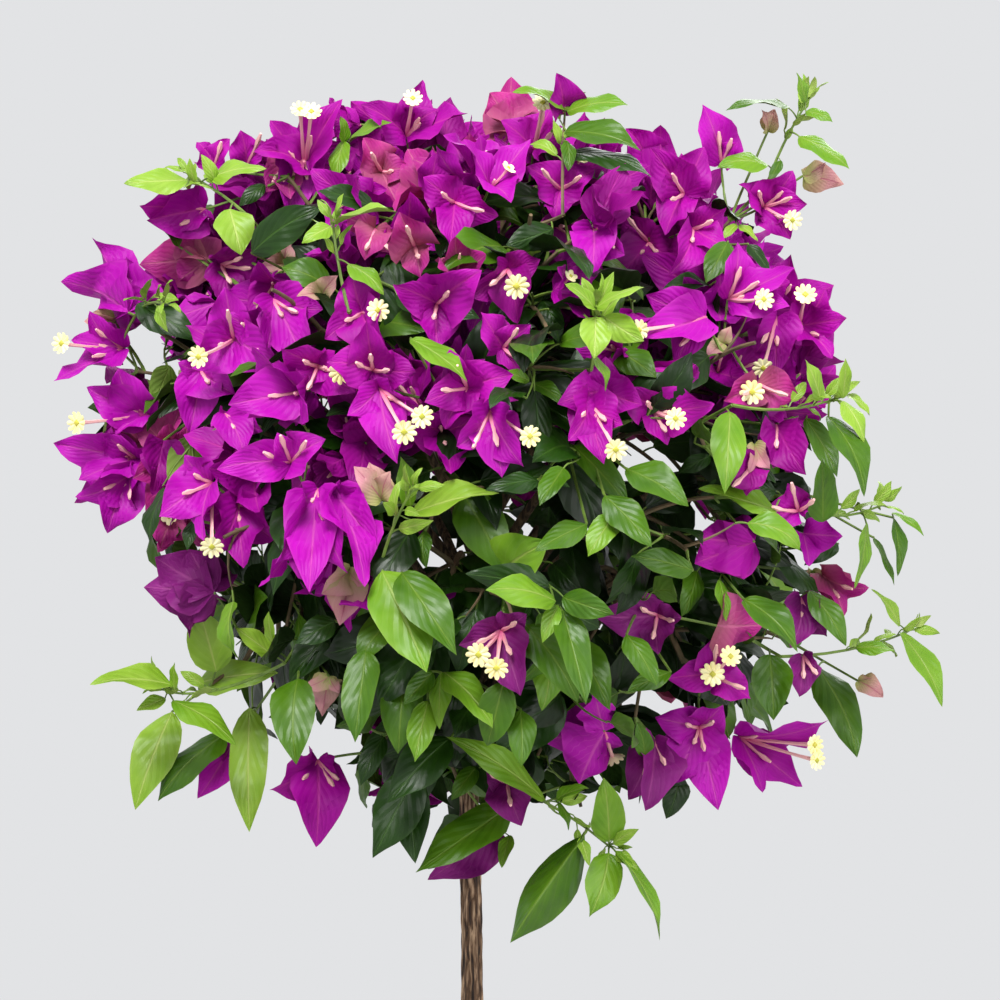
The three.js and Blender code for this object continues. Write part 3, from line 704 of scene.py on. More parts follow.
def add_blade(heap, shape, size, base, along, facing, scale, draw, bending, narrow=1.0, waved=1.0):
    """A thin, folded blade that bends back and twists, from its base to a tip that lies along a
    direction, where size's length is the distance between them. The last three say how much it
    bends, how broad it is and how much its edge waves, against the others of its kind."""
    side = unit(np.cross(facing, along))
    over = unit(np.cross(along, side))
    across, sheet, share = shape.corners.T
    rows, row = np.unique(share, return_inverse=True)
    length = size["length"] * scale
    half = size["width"] / 2 * scale * narrow * draw.between(0.9, 1.1)
    turns = size["bend"] * bending * draw.between(0.3, 1.7) * rows**1.6
    halfway = (turns[1:] + turns[:-1]) / 2
    steps = np.diff(rows) * length
    spine_along = np.concatenate([[0], np.cumsum(steps * np.cos(halfway))])
    spine_over = -np.concatenate([[0], np.cumsum(steps * np.sin(halfway))])
    lift = -math.atan2(spine_over[-1], spine_along[-1])
    stretch = length / math.hypot(spine_over[-1], spine_along[-1])
    along = along * math.cos(lift) + over * math.sin(lift)
    over = np.cross(along, side)
    spine_along, spine_over = spine_along[row] * stretch, spine_over[row] * stretch
    width = np.interp(share, WIDTHS_AT, size["widths"])
    phase = 6.28 * draw()
    ripple = np.sin(2 * math.pi * size["waves"] * share + phase + 2.2 * (across > 0))
    fold = size["fold"] * draw.between(0.4, 1.6)
    edge = np.abs(across)
    wave = 2 * waved * size["wave"] * ripple * np.sqrt(width)
    rise = half * ((fold * edge - size["arch"] * edge**2) * width + wave * edge**2)
    rise = rise + sheet * size["thick"] / 2
    twist = size["twist"] * draw.between(-1, 1) * share
    x = across * half * width
    sweep = size["sweep"] * length * draw.between(-2, 2) * share**2
    x, rise = x * np.cos(twist) - rise * np.sin(twist) + sweep, x * np.sin(twist) + rise * np.cos(twist)
    turn = turns[row]
    y = spine_along + np.sin(turn) * rise
    z = spine_over + np.cos(turn) * rise
    points = base + x[:, None] * side + y[:, None] * along + z[:, None] * over
    heap.add(shape, points, np.stack([(across + 1) / 2, share], 1))


# ---- Materials ----
def linear(red, green, blue):
    """A colour given as it looks, from 0 to 255, in the renderer's own terms."""
    return tuple(
        c / 12.92 if c <= 0.04045 else ((c + 0.055) / 1.055) ** 2.4
        for c in (red / 255, green / 255, blue / 255)
    ) + (1.0,)


class Tree:
    """The nodes of a finish or of a node group, with short ways to add to them."""

    def __init__(self, tree):
        self.nodes, self.links = tree.nodes, tree.links

    def feed(self, made, inputs):
        """Give a node's inputs, by name or place, their values or the outputs they take."""
        for name, value in inputs.items():
            if isinstance(value, bpy.types.NodeSocket):
                self.links.new(value, made.inputs[name])
            elif value is not None:
                made.inputs[name].default_value = value

    def node(self, kind, inputs, **settings):
        made = self.nodes.new(kind)
        for key, value in settings.items():
            setattr(made, key, value)
        self.feed(made, inputs)
        return made

    def math(self, operation, a, b=None, clamp=False):
        return self.node("ShaderNodeMath", {0: a, 1: b}, operation=operation, use_clamp=clamp).outputs[0]

    def blend(self, amount, a, b):
        """One colour laid over another where a mask says."""
        mixed = {"Factor": amount, "A": a, "B": b}
        return self.node("ShaderNodeMix", mixed, data_type="RGBA").outputs["Result"]

    def place(self):
        """Where on the plant a point lies."""
        return self.node("ShaderNodeTexCoord", {}).outputs["Object"]

    def noise(self, place, scale, detail, **more):
        inputs = {"Vector": place, "Scale": scale, "Detail": detail, **more}
        return self.node("ShaderNodeTexNoise", inputs).outputs["Fac"]

    def bump(self, height, strength, distance):
        inputs = {"Strength": strength, "Distance": distance, "Height": height}
        return self.node("ShaderNodeBump", inputs).outputs["Normal"]

    def mottled(self, color, other, scale):
        inputs = {"Color": linear(*color), "Other": linear(*other), "Scale": scale, "Amount": 0.8}
        return self.node("ShaderNodeGroup", inputs, node_tree=MOTTLE).outputs["Color"]


def new_material(name, inputs):
    material = bpy.data.materials.new(name)
    material.use_nodes = True
    tree = Tree(material.node_tree)
    shader = tree.nodes["Principled BSDF"]
    tree.feed(shader, inputs)
    return material, tree, shader


FLOAT, COLOR = "NodeSocketFloat", "NodeSocketColor"
WHITE = (1, 1, 1, 1)


def new_group(name, inputs, outputs):
    """A node group: itself, its tree, what it is given and what it gives."""
    group = bpy.data.node_groups.new(name, "ShaderNodeTree")
    for label, (kind, value) in inputs.items():
        socket = group.interface.new_socket(label, in_out="INPUT", socket_type=kind)
        socket.default_value = value
    for label, kind in outputs.items():
        group.interface.new_socket(label, in_out="OUTPUT", socket_type=kind)
    tree = Tree(group)
    given = tree.node("NodeGroupInput", {}).outputs
    return group, tree, given, tree.node("NodeGroupOutput", {})


def make_vein_group():
    """A midrib and side veins that curve towards the tip, from a blade's own UVs, and how near
    the base a place is."""
    group, tree, given, gives = new_group(
        "blade_veins",
        {"Pairs": (FLOAT, 6.0), "Slant": (FLOAT, 3.0), "Width": (FLOAT, 0.2)},
        dict.fromkeys(("Veins", "Rise", "Middle", "Midrib", "Base"), FLOAT),
    )
    uv = tree.node("ShaderNodeUVMap", {}, uv_map="UVMap").outputs[0]
    parts = tree.node("ShaderNodeSeparateXYZ", {0: uv}).outputs
    m = tree.math
    away = m("ABSOLUTE", m("SUBTRACT", m("MULTIPLY", parts["X"], 2.0), 1.0))
    slanted = m("MULTIPLY", m("POWER", away, 0.8), given["Slant"])
    wave = m("SUBTRACT", m("MULTIPLY", parts["Y"], given["Pairs"]), slanted)
    ridge = m("ABSOLUTE", m("SUBTRACT", m("MULTIPLY", m("FRACT", wave), 2.0), 1.0))
    line = m("SUBTRACT", 1.0, m("DIVIDE", ridge, given["Width"]), clamp=True)
    fade = m("SUBTRACT", 1.0, m("POWER", away, 3.0), clamp=True)
    near = m("POWER", m("SUBTRACT", 1.0, away, clamp=True), 4.0)
    # Painted highlight: a pale rim along the blade's edge, partly the paler margin of a real blade.
    painted_rim_highlight = m("MULTIPLY", m("POWER", away, 10.0), 1.2)
    tree.feed(gives, {
        "Veins": m("MULTIPLY", line, fade),
        "Rise": m("ADD", m("MULTIPLY", ridge, 0.6), m("MULTIPLY", away, 0.4)),
        "Middle": m("ADD", near, painted_rim_highlight),
        "Midrib": m("SUBTRACT", 1.6, m("DIVIDE", away, 0.042), clamp=True),
        "Base": m("SUBTRACT", 1.0, m("MULTIPLY", parts["Y"], 1.5), clamp=True),
    })
    return group


def make_mottle_group():
    """Soft patches that shift a colour a little, from place to place on the plant."""
    group, tree, given, gives = new_group(
        "mottle",
        {"Color": (COLOR, WHITE), "Other": (COLOR, WHITE), "Scale": (FLOAT, 60.0), "Amount": (FLOAT, 0.5)},
        {"Color": COLOR},
    )
    patches = {"From Min": 0.38, "From Max": 0.62, "Value": tree.noise(tree.place(), given["Scale"], 3)}
    spread = tree.node("ShaderNodeMapRange", patches).outputs[0]
    amount = tree.math("MULTIPLY", spread, given["Amount"])
    tree.feed(gives, {"Color": tree.blend(amount, given["Color"], given["Other"])})
    return group


VEINS = make_vein_group()
MOTTLE = make_mottle_group()


def tissue(name, look):
    """The finish of a leaf or bract: mottled, veined, with a pale edge that is partly a painted highlight,
    and letting some light through.
    """
    material, tree, shader = new_material(name, {
        "Roughness": look["roughness"], "Coat Weight": look["coat"], "Coat Roughness": 0.3,
        "Specular IOR Level": look["gloss"],
    })
    m = tree.math
    rib = linear(*look["rib"])
    ribs = {"Pairs": look["pairs"], "Slant": look["slant"]}
    veins = tree.node("ShaderNodeGroup", ribs, node_tree=VEINS).outputs
    # Rib colour along the middle of the blade and, as a painted highlight, along its edge.
    middle_and_rim_highlight = m("MULTIPLY", veins["Middle"], 0.25)
    lines = m("ADD", m("MULTIPLY", veins["Veins"], look["veined"]), middle_and_rim_highlight, True)
    shown = tree.blend(lines, tree.mottled(look["color"], look["other"], 55.0), rib)
    if "base" in look:
        shown = tree.blend(m("MULTIPLY", veins["Base"], 0.9), shown, linear(*look["base"]))
    shown = tree.blend(m("MULTIPLY", veins["Midrib"], 0.75), shown, rib)
    pucker = m("MULTIPLY", tree.noise(tree.place(), 75, 1), look["pucker"])
    height = m("ADD", m("SUBTRACT", veins["Rise"], veins["Midrib"]), pucker)
    tree.feed(shader, {"Base Color": shown, "Normal": tree.bump(height, look["bump"], 0.0006)})
    through = tree.node("ShaderNodeBsdfTranslucent", {"Color": shown})
    parts = {0: look["sheer"], 1: shader.outputs[0], 2: through.outputs[0]}
    mix = tree.node("ShaderNodeMixShader", parts)
    tree.feed(tree.nodes["Material Output"], {"Surface": mix.outputs[0]})
    return material


def plain_tissue(name, color, other, roughness):
    material, tree, shader = new_material(name, {"Roughness": roughness})
    tree.feed(shader, {"Base Color": tree.mottled(color, other, 140.0)})
    return material


LEAF_LOOK = {
    "roughness": 0.38, "sheer": 0.22, "pairs": 5.5, "slant": 2.6, "veined": 0.14, "bump": 0.45,
    "gloss": 0.32, "coat": 0.12, "pucker": 9.0,
}
BRACT_LOOK = {
    "roughness": 0.5, "sheer": 0.35, "pairs": 7.0, "slant": 4.4, "veined": 0.19, "bump": 0.40,
    "gloss": 0.25, "coat": 0.0, "pucker": 3.0,
}


def leaf_heap(name, color, other, rib, under):
    upper = {**LEAF_LOOK, "color": color, "other": other, "rib": rib}
    below = {**upper, "color": under, "other": color, "roughness": 0.6, "veined": 0.22, "coat": 0.0}
    return Heap(name, [tissue(name, upper), tissue(name + "_underside", below)], "leaves")


def bract_heap(name, color, other, rib, base=None):
    upper = {**BRACT_LOOK, "color": color, "other": other, "rib": rib}
    if base:
        upper["base"] = base
    below = {**upper, "roughness": 0.56, "veined": 0.34}
    return Heap(name, [tissue(name, upper), tissue(name + "_outside", below)], "bracts")


def flower_tube_material():
    """Pink at the foot of a tube and cream at its mouth."""
    material, tree, shader = new_material("flower_tube", {"Roughness": 0.5})
    base = tree.node("ShaderNodeGroup", {}, node_tree=VEINS).outputs["Base"]
    shown = tree.blend(base, linear(244, 188, 184), linear(212, 84, 146))
    tree.feed(shader, {"Base Color": shown})
    return material


# Each tint's colour, the one it is mottled with, its ribs' and a leaf's underside's.
# The shade tint is painted shade for leaves inside the head, and deep and light are partly painted shade
# and painted light.
LEAF_COLORS = {
    "shade": ((18, 42, 4), (9, 28, 3), (38, 68, 16), (42, 68, 20)),
    "deep": ((32, 66, 8), (20, 50, 5), (58, 94, 26), (58, 90, 30)),
    "mid": ((74, 116, 14), (54, 96, 9), (106, 138, 42), (96, 130, 50)),
    "light": ((116, 160, 34), (92, 142, 20), (152, 178, 78), (134, 162, 74)),
    "fresh": ((146, 184, 58), (124, 166, 36), (186, 204, 108), (168, 190, 100)),
}
# Bracts in the same way, and for the rose ones the colour at their base.
BRACT_COLORS = {
    "deep": ((168, 8, 150), (146, 6, 132), (190, 42, 162)),
    "dull": ((150, 30, 136), (124, 18, 112), (178, 74, 156)),
    "vivid": ((190, 6, 176), (170, 2, 158), (212, 64, 178)),
    "bright": ((199, 12, 190), (184, 4, 175), (216, 84, 190)),
    "rose": ((202, 50, 150), (178, 26, 142), (216, 118, 160), (184, 112, 122)),
}
LEAVES = {tint: leaf_heap("leaves_" + tint, *colors) for tint, colors in LEAF_COLORS.items()}
BRACTS = {tint: bract_heap("bracts_" + tint, *colors) for tint, colors in BRACT_COLORS.items()}
PALE_GREEN = (172, 190, 92)
YOUNG = bract_heap("young_bracts", (226, 164, 176), (224, 184, 166), (204, 116, 142), PALE_GREEN)
TUBES = Heap("flower_tubes", [flower_tube_material()], "bracts")
MOUTH = plain_tissue("flower_mouth", (248, 242, 196), (240, 226, 150), 0.6)
STARS = Heap("flower_stars", [MOUTH], "bracts")
THROAT = plain_tissue("flower_throat", (176, 176, 50), (200, 190, 70), 0.5)
THROATS = Heap("flower_throats", [THROAT], "bracts")
TWIG_BARK = plain_tissue("twig_bark", (112, 92, 66), (78, 72, 46), 0.8)
WOOD = Heap("twigs", [TWIG_BARK], "bough_bark")
SHOOT_BARK = plain_tissue("green_twig_bark", (112, 140, 54), (84, 110, 40), 0.55)
GREEN_WOOD = Heap("green_twigs", [SHOOT_BARK], "leaves")


# ---- Leaves, flowers and clusters ----
def cell_of(point):
    return int(np.argmin(np.linalg.norm(cells - point, axis=1)))


def seen_from_front(point):
    """How far across and up from the head's centre a point shows from the front."""
    away = point - HEAD_CENTRE
    return away[[0, 2]] * VIEW["distance"] / (VIEW["distance"] + away[1])


def in_shape(point, extra):
    """Whether a point is within the mass's body and within the head's outline."""
    index = cell_of(point)
    if np.linalg.norm(point - HEAD_CENTRE) > BODY.get(MASSES[index][0], reach_of[index]) + extra:
        return False
    x, z = seen_from_front(point)
    return math.hypot(x, z) < np.interp(math.degrees(math.atan2(z, x)), *zip(*OUTLINE)) + extra


def sight(across, up, depth):
    """The place that shows at this distance across and up, and lies this far behind the centre."""
    share = (VIEW["distance"] + depth) / VIEW["distance"]
    eye_x, eye_z = VIEW["across"] - HEAD_CENTRE[0], VIEW["height"] - HEAD_CENTRE[2]
    x, z = lerp(eye_x, across, share), lerp(eye_z, up, share)
    return HEAD_CENTRE + np.array([x, depth, z])


FRONT = {"least": 12.0, "flattened": 0.93}


def front_depth(across, up, distance):
    """How far behind the centre, less than nothing, the head's front is where this shows."""
    ahead = math.sqrt(max(0.0, distance**2 - across**2 - up**2))
    return -max(FRONT["least"], ahead * FRONT["flattened"])


KEPT_CLEAR = []  # what has to stay in view: across, up, how far back, and its radius
CLEARING = {"share": 0.8, "behind": 9}  # of a thing's half width, and how far behind it may lie


def keep_clear(point, radius):
    KEPT_CLEAR.append((*seen_from_front(point), point[1], radius))


def in_opening(point, half):
    """Whether something here would close an opening or hide what stands out behind it."""
    x, z = seen_from_front(point)
    if any(math.hypot(x - a, z - b) < r + half for a, b, r in OPENINGS):
        return True
    half = CLEARING["share"] * half
    behind = point[1] - CLEARING["behind"]
    return any(behind < y and math.hypot(x - a, z - b) < r + half for a, b, y, r in KEPT_CLEAR)


class Room:
    """Keeps the middles of leaves and lanterns, so that no two are nearer than they need."""

    def __init__(self):
        self.points = np.full((MOST_THINGS, 3), FAR_AWAY)
        self.radii = np.zeros(MOST_THINGS)
        self.lanterns = np.zeros(MOST_THINGS, bool)
        self.count = 0

    def take(self, point, kind, size, always=False):
        """Keep a thing's place if there is room for it, or always, and say whether it was kept."""
        n = self.count
        lantern = kind == "lantern"
        radius = ROOM_OF[kind] * size
        if not always:
            apart = self.points[:n] - point
            mixed = self.lanterns[:n] != lantern
            needed = (self.radii[:n] + radius) * np.where(mixed, SHARING["mixed"], SHARING[kind])
            if (np.einsum("ij,ij->i", apart, apart) < needed**2).any():
                return False
        self.points[n], self.radii[n], self.lanterns[n] = point, radius, lantern
        self.count += 1
        return True


ROOM = Room()


def leaf_base(root, along, size):
    """Where a leaf's stalk ends and its blade begins."""
    length = LEAF_STALK["least"] + LEAF_STALK["more"] * size
    return root + unit(along + UP * LEAF_STALK["rise"]) * length


def leaf_facing(point, along, draw):
    """Outwards and up, more or less, and nearly square to the leaf."""
    stray = FACING["stray"]
    wander = np.array([draw.between(-stray, stray) for _ in range(3)])
    facing = unit(point - HEAD_CENTRE) * FACING["outward"] + UP * FACING["up"] + wander
    return unit(facing - along * (facing @ along) * FACING["square"])


def add_stalk(start, middle, end, base, tip, share=1.0):
    path = bend(start, middle, end, np.linspace(0, 1, 5))
    add_tube(GREEN_WOOD, STALK_TUBE, path, np.linspace(base, tip, 5) * share)


def add_leaf_stalk(root, middle, base, along, size):
    add_stalk(root, middle, base + along * 1.5 * size, *LEAF_STALK["radii"], 0.5 + 0.5 * size)


def add_leaf(root, along, length, tint, draw, narrow, shape=PLAIN_BLADE):
    """A leaf on its stalk."""
    size = length / LEAF["length"]
    base = leaf_base(root, along, size)
    facing = leaf_facing(base, along, draw)
    add_blade(LEAVES[tint], shape, LEAF, base, along, facing, size, draw, 1.0, narrow)
    add_leaf_stalk(root, lerp(root, base, 0.6) + UP * 0.8, base, along, size)


def grow_leaf(root, heading, bearing, size, tint, draw, away, inset):
    """A leaf, if it would be within the head's shape and there is room for it."""
    outward = unit(root - HEAD_CENTRE)
    droop = draw.between(*GROWN_LEAF["droop"])
    along = unit(turned(heading, away, bearing) + outward * GROWN_LEAF["outward"] - UP * droop)
    base = leaf_base(root, along, size)
    tip = base + along * LEAF["length"] * size
    middle = lerp(base, tip, LEAF_MIDDLE)
    if not in_shape(tip, 2 - inset) or not clear_of_limbs([tip, middle], 1.5):
        return False
    half = GROWN_LEAF["half"] * size
    if any(in_opening(lerp(base, tip, share), half) for share in GROWN_LEAF["tested"]):
        return False
    if not ROOM.take(middle, "leaf", size):
        return False
    inner = np.linalg.norm(middle - HEAD_CENTRE) < INNER_RADIUS
    shape = INNER_BLADE if inner else PLAIN_BLADE
    narrow = draw.between(*GROWN_LEAF["widths"])
    add_leaf(root, along, LEAF["length"] * size, tint, draw, narrow, shape)
    return True


STAR_RINGS = {
    "radius": np.array([1.0, 3.5, 4.9, 1.2]),
    "depth": np.array([-1.4, 0.1, 0.7, 0.5]),
    "notch": np.array([0, 0.1, 0.26, 0.05]),
}


def add_star(end, heading, size, draw, shape, lobes):
    """The open mouth of a flower: rounded, ruffled lobes round a throat."""
    side, over = sides_of(heading)
    cosine, sine, share = shape.corners.T
    turn = np.arctan2(sine, cosine)
    spin = turn + 6.28 * draw()
    ring = np.rint(share * 3).astype(int)
    notch = STAR_RINGS["notch"][ring]
    petal = np.abs(np.cos(lobes / 2 * turn)) ** 0.6
    radius = STAR_RINGS["radius"][ring] * (1 - notch * (1 - petal)) * size
    depth = (STAR_RINGS["depth"][ring] + 4 * notch * (petal - 0.6)) * size
    points = end + (np.cos(spin) * radius)[:, None] * side + (np.sin(spin) * radius)[:, None] * over
    STARS.add(shape, points + depth[:, None] * heading, np.stack([share, share], 1))
    throat = np.array([end + heading * d * size for d in (0.4, 0.7, 0.9, 1.1, 1.2)])
    add_tube(THROATS, STALK_TUBE, throat, np.array([1.4, 1.4, 1.3, 1.0, 0.5]) * size)


FLOWER_RADII = {
    "open": np.array([0.6, 1.0, 0.9, 0.7, 0.8, 1.1]),
    "closed": np.array([0.6, 1.0, 0.8, 0.65, 1.25, 0.6]),
}


def add_flower_to(root, end, size, draw, opened, fine=False):
    """A tube from its root to its mouth, which is open or still shut."""
    along = unit(end - root)
    path = bend(root, lerp(root, end, 0.5) - UP * 1.2, end, np.linspace(0, 1, 6))
    add_tube(TUBES, FLOWER_TUBE, path, FLOWER_RADII["open" if opened else "closed"] * size)
    if opened:
        shape, lobes = (FINE_STAR_RING, 10) if fine else (STAR_RING, 5)
        heading = unit(along - FORWARD_AXIS * 0.6 * fine + UP * 0.1)
        add_star(end, heading, size * draw.between(0.9, 1.1), draw, shape, lobes)


def add_flower(root, along, size, draw, opened):
    shares = FLOWERS["shares_open" if opened else "shares_closed"]
    length = FLOWERS["length"] * size * draw.between(*shares)
    add_flower_to(root, root + along * length + UP * draw.between(-1, 2), size, draw, opened)


def add_lantern(tip, axis, openness, size, tint, draw):
    """Three bracts round a point, and along the inner side of some of them a flower."""
    turn = 120 * draw()
    for k in range(3):
        bearing = turn + 120 * k + LANTERN["stray"] * (draw() - 0.5)
        along = turned(axis, openness * draw.between(*LANTERN["openings"]), bearing)
        bend_back = (openness - LANTERN["straight"]) / LANTERN["limber"]
        scale = size * draw.between(*LANTERN["lengths"])
        base = tip + along * 0.6
        add_blade(BRACTS[tint], PLAIN_BLADE, BRACT, base, along, axis, scale, draw, bend_back)
        if draw() < FLOWERS["shown"]:
            inner = turned(axis, openness * 0.42, bearing + 12)
            add_flower(tip, inner, size, draw, draw() < FLOWERS["open"])


def grow_lantern(root, tip, axis, openness, size, tint, draw):
    """A lantern, if it would be within the head's shape and there is room for it."""
    middle = tip + axis * LANTERN["middle"] * size
    end = tip + axis * BRACT["length"] * size
    if not in_shape(end, 0) or not clear_of_limbs(middle, LANTERN["clear"]):
        return
    if in_opening(middle, LANTERN["half"] * size) or not ROOM.take(middle, "lantern", size):
        return
    add_lantern(tip, axis, openness, size, tint, draw)
    add_stalk(root, lerp(root, tip, 0.5) + UP * 0.8, tip + axis, 0.65, 0.5)


def grow_panicle(spray, tint, draw):
    """Lanterns on short stalks round the end of a flowering spray."""
    end = spray.on_curve(1)
    heading = spray.along_curve(1)
    outward = unit(end - HEAD_CENTRE)
    turn = 360 * draw()
    for k in range(PANICLE["lanterns"]):
        root = spray.on_curve(1 - PANICLE["step"] * k)
        away = draw.between(*PANICLE["aside" if k else "first"])
        leaning = turned(unit(heading + outward), away, turn + k * GOLDEN_ANGLE)
        axis = unit(leaning + outward * PANICLE["outward"])
        tip = root + axis * draw.between(*PANICLE["stalk"])
        size = draw.between(*PANICLE["size"])
        grow_lantern(root, tip, axis, draw.between(*PANICLE["opening"]), size, tint, draw)


# ---- Limbs first, so that everything can find a twig to grow on from ----
class Mass:
    """One mass of foliage: its spine, its twigs and its own draws."""

    def __init__(self, index):
        self.index = index
        self.name = MASSES[index][0]
        self.draw = Draw(FIRST_SEED + SEED_STEP * index)
        self.spine = spine_of(index)
        self.twigs = [self.kept_inside(twig) for twig in twigs_of(index, self.spine, self.draw)]
        add_tube(WOOD, TWIG_TUBE, self.spine.smooth(8), np.linspace(SPINE["base"], SPINE["tip"], 9))
        for twig in self.twigs:
            add_tube(WOOD, TWIG_TUBE, twig.smooth(8), np.linspace(TWIG["base"], TWIG["tip"], 9))

    def kept_inside(self, twig):
        """The part of a twig that stays behind the leaves that grow from it."""
        t = 1.0
        while t > TWIG_KEPT["least"] and not in_shape(twig.on_curve(t), -TWIG_KEPT["inside"]):
            t -= TWIG_KEPT["step"]
        return Limb(twig.start, lerp(twig.start, twig.middle, t), twig.on_curve(t), twig.steps)

    def root_towards(self, end):
        """Where something leaves the twigs: the nearest place that it can grow on from."""
        best = None
        for twig in self.twigs:
            for t in SPRAY_ROOTS:
                at, heading = twig.on_curve(t), twig.along_curve(t)
                apart = end - at
                cost = np.linalg.norm(apart) * (1.5 - 0.5 * (unit(apart) @ heading))
                if best is None or cost < best[0]:
                    best = (cost, at, heading)
        return best[1:]

    def spray_to(self, end):
        """A fine twig to a point, which leaves its own twig smoothly."""
        start, leaving = self.root_towards(end)
        apart = np.linalg.norm(end - start)
        middle = start + unit(leaving + unit(end - start)) * apart * 0.5 + UP * 2
        return Limb(start, middle, end, 2)


masses = [Mass(index) for index in range(len(MASSES))]
DRAW = Draw(CHOSEN_SEED)


def nearest_spray(point):
    """A fine spray to a point, from the nearest twig of any mass."""
    near = sorted(masses, key=lambda m: np.linalg.norm(m.root_towards(point)[0] - point))
    spray = near[0].spray_to(point)
    spray.middle = lerp(spray.start, spray.end, 0.5) + FORWARD_AXIS * 12
    return spray


LINES = []  # the paths of the shoots and of the sprays that were made for what is chosen


def tube_between(heap, limb, base, tip):
    path = limb.smooth(6)
    add_tube(heap, SPRAY_TUBE, path, np.linspace(base, tip, 7))
    return path


def hold(near, across, up, distance):
    """A place on a shoot or a new spray that something at the front can grow from."""
    if LINES:
        points = np.vstack(LINES)
        seen = np.array([seen_from_front(p) for p in points])
        away = np.hypot(seen[:, 0] - across, seen[:, 1] - up)
        if away.min() < near:
            return points[away.argmin()]
    point = sight(across, up, front_depth(across, up, distance))
    LINES.append(tube_between(GREEN_WOOD, nearest_spray(point), 0.7, 0.55))
    return point


def grow_shoots():
    """Long shoots with their fine sprays, and small fresh leaves towards their tips."""
    for first, through, last, inner, outer, *dark in SHOOTS:
        wood = WOOD if dark else GREEN_WOOD
        middle_distance = lerp(inner, outer, 0.5)
        start, middle, end = [
            sight(*seen, front_depth(*seen, distance))
            for seen, distance in ((first, inner), (through, middle_distance), (last, outer))
        ]
        LINES.append(tube_between(wood, nearest_spray(start), 0.9, 0.75))
        shoot = Limb(start, 2 * middle - lerp(start, end, 0.5), end, 2)
        LINES.append(tube_between(wood, shoot, 0.75, 0.5))
        for k in range(SHOOT["leaves"]):
            back = max(0, k - SHOOT["at_tip"] + 1)
            t = 1 - SHOOT["step"] * back
            away = DRAW.between(*SHOOT["away"])
            along = turned(shoot.along_curve(t), away, k * SHOOT["turn"] + SHOOT["wander"] * DRAW())
            length = DRAW.between(*SHOOT["lengths" if back else "tip_lengths"])
            add_leaf(shoot.on_curve(t), along, length, "fresh", DRAW, SHOOT["narrow"])


def grow_chosen_leaves():
    """Leaves whose bases and tips show at places that are given."""
    for tint, across, up, tip_across, tip_up, turn, *form in CHOSEN_LEAVES:
        widen, fold = (*form, 1.0, 1.0)[:2]
        root = hold(CHOSEN_LEAF["near"], across, up, LEAVES_REACH)
        forward, slope = CHOSEN_LEAF["deep" if tint == "deep" else "others"]
        base = sight(across, up, root[1] - HEAD_CENTRE[1] - forward)
        far = math.hypot(tip_across - across, tip_up - up)
        tip = sight(tip_across, tip_up, base[1] - slope * far)
        along = unit(tip - base)
        length = float(np.linalg.norm(tip - base))
        up_side = UP + 0.5 * unit(base - HEAD_CENTRE)
        viewer = -FORWARD_AXIS - along * (-FORWARD_AXIS @ along)
        raised = np.cross(along, unit(viewer))
        raised = raised * math.copysign(1, raised @ up_side)
        tilt = math.radians(turn + DRAW.between(-CHOSEN_LEAF["stray"], CHOSEN_LEAF["stray"]))
        facing = unit(viewer) * math.cos(tilt) + raised * math.sin(tilt)
        size = length / LEAF["length"]
        narrow = CHOSEN_LEAF["narrow"] * widen * DRAW.between(*CHOSEN_LEAF["widths"])
        look = {**LEAF, "fold": LEAF["fold"] * fold}
        bending = CHOSEN_LEAF["bending"]
        add_blade(LEAVES[tint], FINE_BLADE, look, base, along, facing, size, DRAW, bending, narrow)
        add_leaf_stalk(root, lerp(root, base, 0.5) + UP, base, along, size)
        middle = lerp(base, tip, LEAF_MIDDLE)
        ROOM.take(middle, "leaf", size, always=True)
        for share in CHOSEN_LEAF["kept_clear"]:
            keep_clear(lerp(base, tip, share), CHOSEN_LEAF["clear"] * length)


def grow_chosen_lantern(heap, near, place, tips, stars, vigour, flowers):
    """One lantern with its bracts' tips and its open flowers at places that are given. With less
    vigour its bracts are narrower and their edges wave less."""
    root = hold(CHOSEN_LANTERN["near"], *place, LANTERNS_REACH)
    base = sight(*place, root[1] - HEAD_CENTRE[1])
    slopes = CHOSEN_LANTERN["slopes_towards" if near > 0 else "slopes_away"]
    ends = []
    for across, up in tips:
        far = math.hypot(across - place[0], up - place[1])
        ends.append(sight(across, up, base[1] - near * DRAW.between(*slopes) * far))
    spread = sum(unit(end - base) for end in ends) / len(ends)
    axis = unit(spread - FORWARD_AXIS * near * 0.8)
    broad = CHOSEN_LANTERN["facing_away"] if near < 0 and vigour == 1 else 1.0
    bending = CHOSEN_LANTERN["bending"]
    waved = CHOSEN_LANTERN["wave"] * vigour
    for end in ends:
        along = unit(end - base)
        length = float(np.linalg.norm(end - base))
        size = length / BRACT["length"]
        narrow = (1.65 - 0.8 * min(1.2, size)) * DRAW.between(*CHOSEN_LANTERN["widths"]) * broad * vigour
        add_blade(heap, FINE_BLADE, BRACT, base, along, axis, size, DRAW, bending, narrow, waved)
        keep_clear(lerp(base, end, 0.5), CHOSEN_LANTERN["clear"] * length * broad)
        if near > 0 and DRAW() < flowers:
            add_flower(base, unit(along + axis * 0.9), 1.0, DRAW, False)
    for across, up in stars:
        far = math.hypot(across - place[0], up - place[1])
        end = sight(across, up, base[1] - near * min(24, 8 + 0.7 * far))
        add_flower_to(base, end, 1.0, DRAW, True, True)
        keep_clear(end, 5)
    radius = 0.5 * max(np.linalg.norm(end - base) for end in ends)
    ROOM.take(base + axis * radius * 0.8, "lantern", radius / ROOM_OF["lantern"], always=True)
    if np.linalg.norm(root - base) > 1:
        add_stalk(root, lerp(root, base, 0.5), base, 0.6, 0.5)


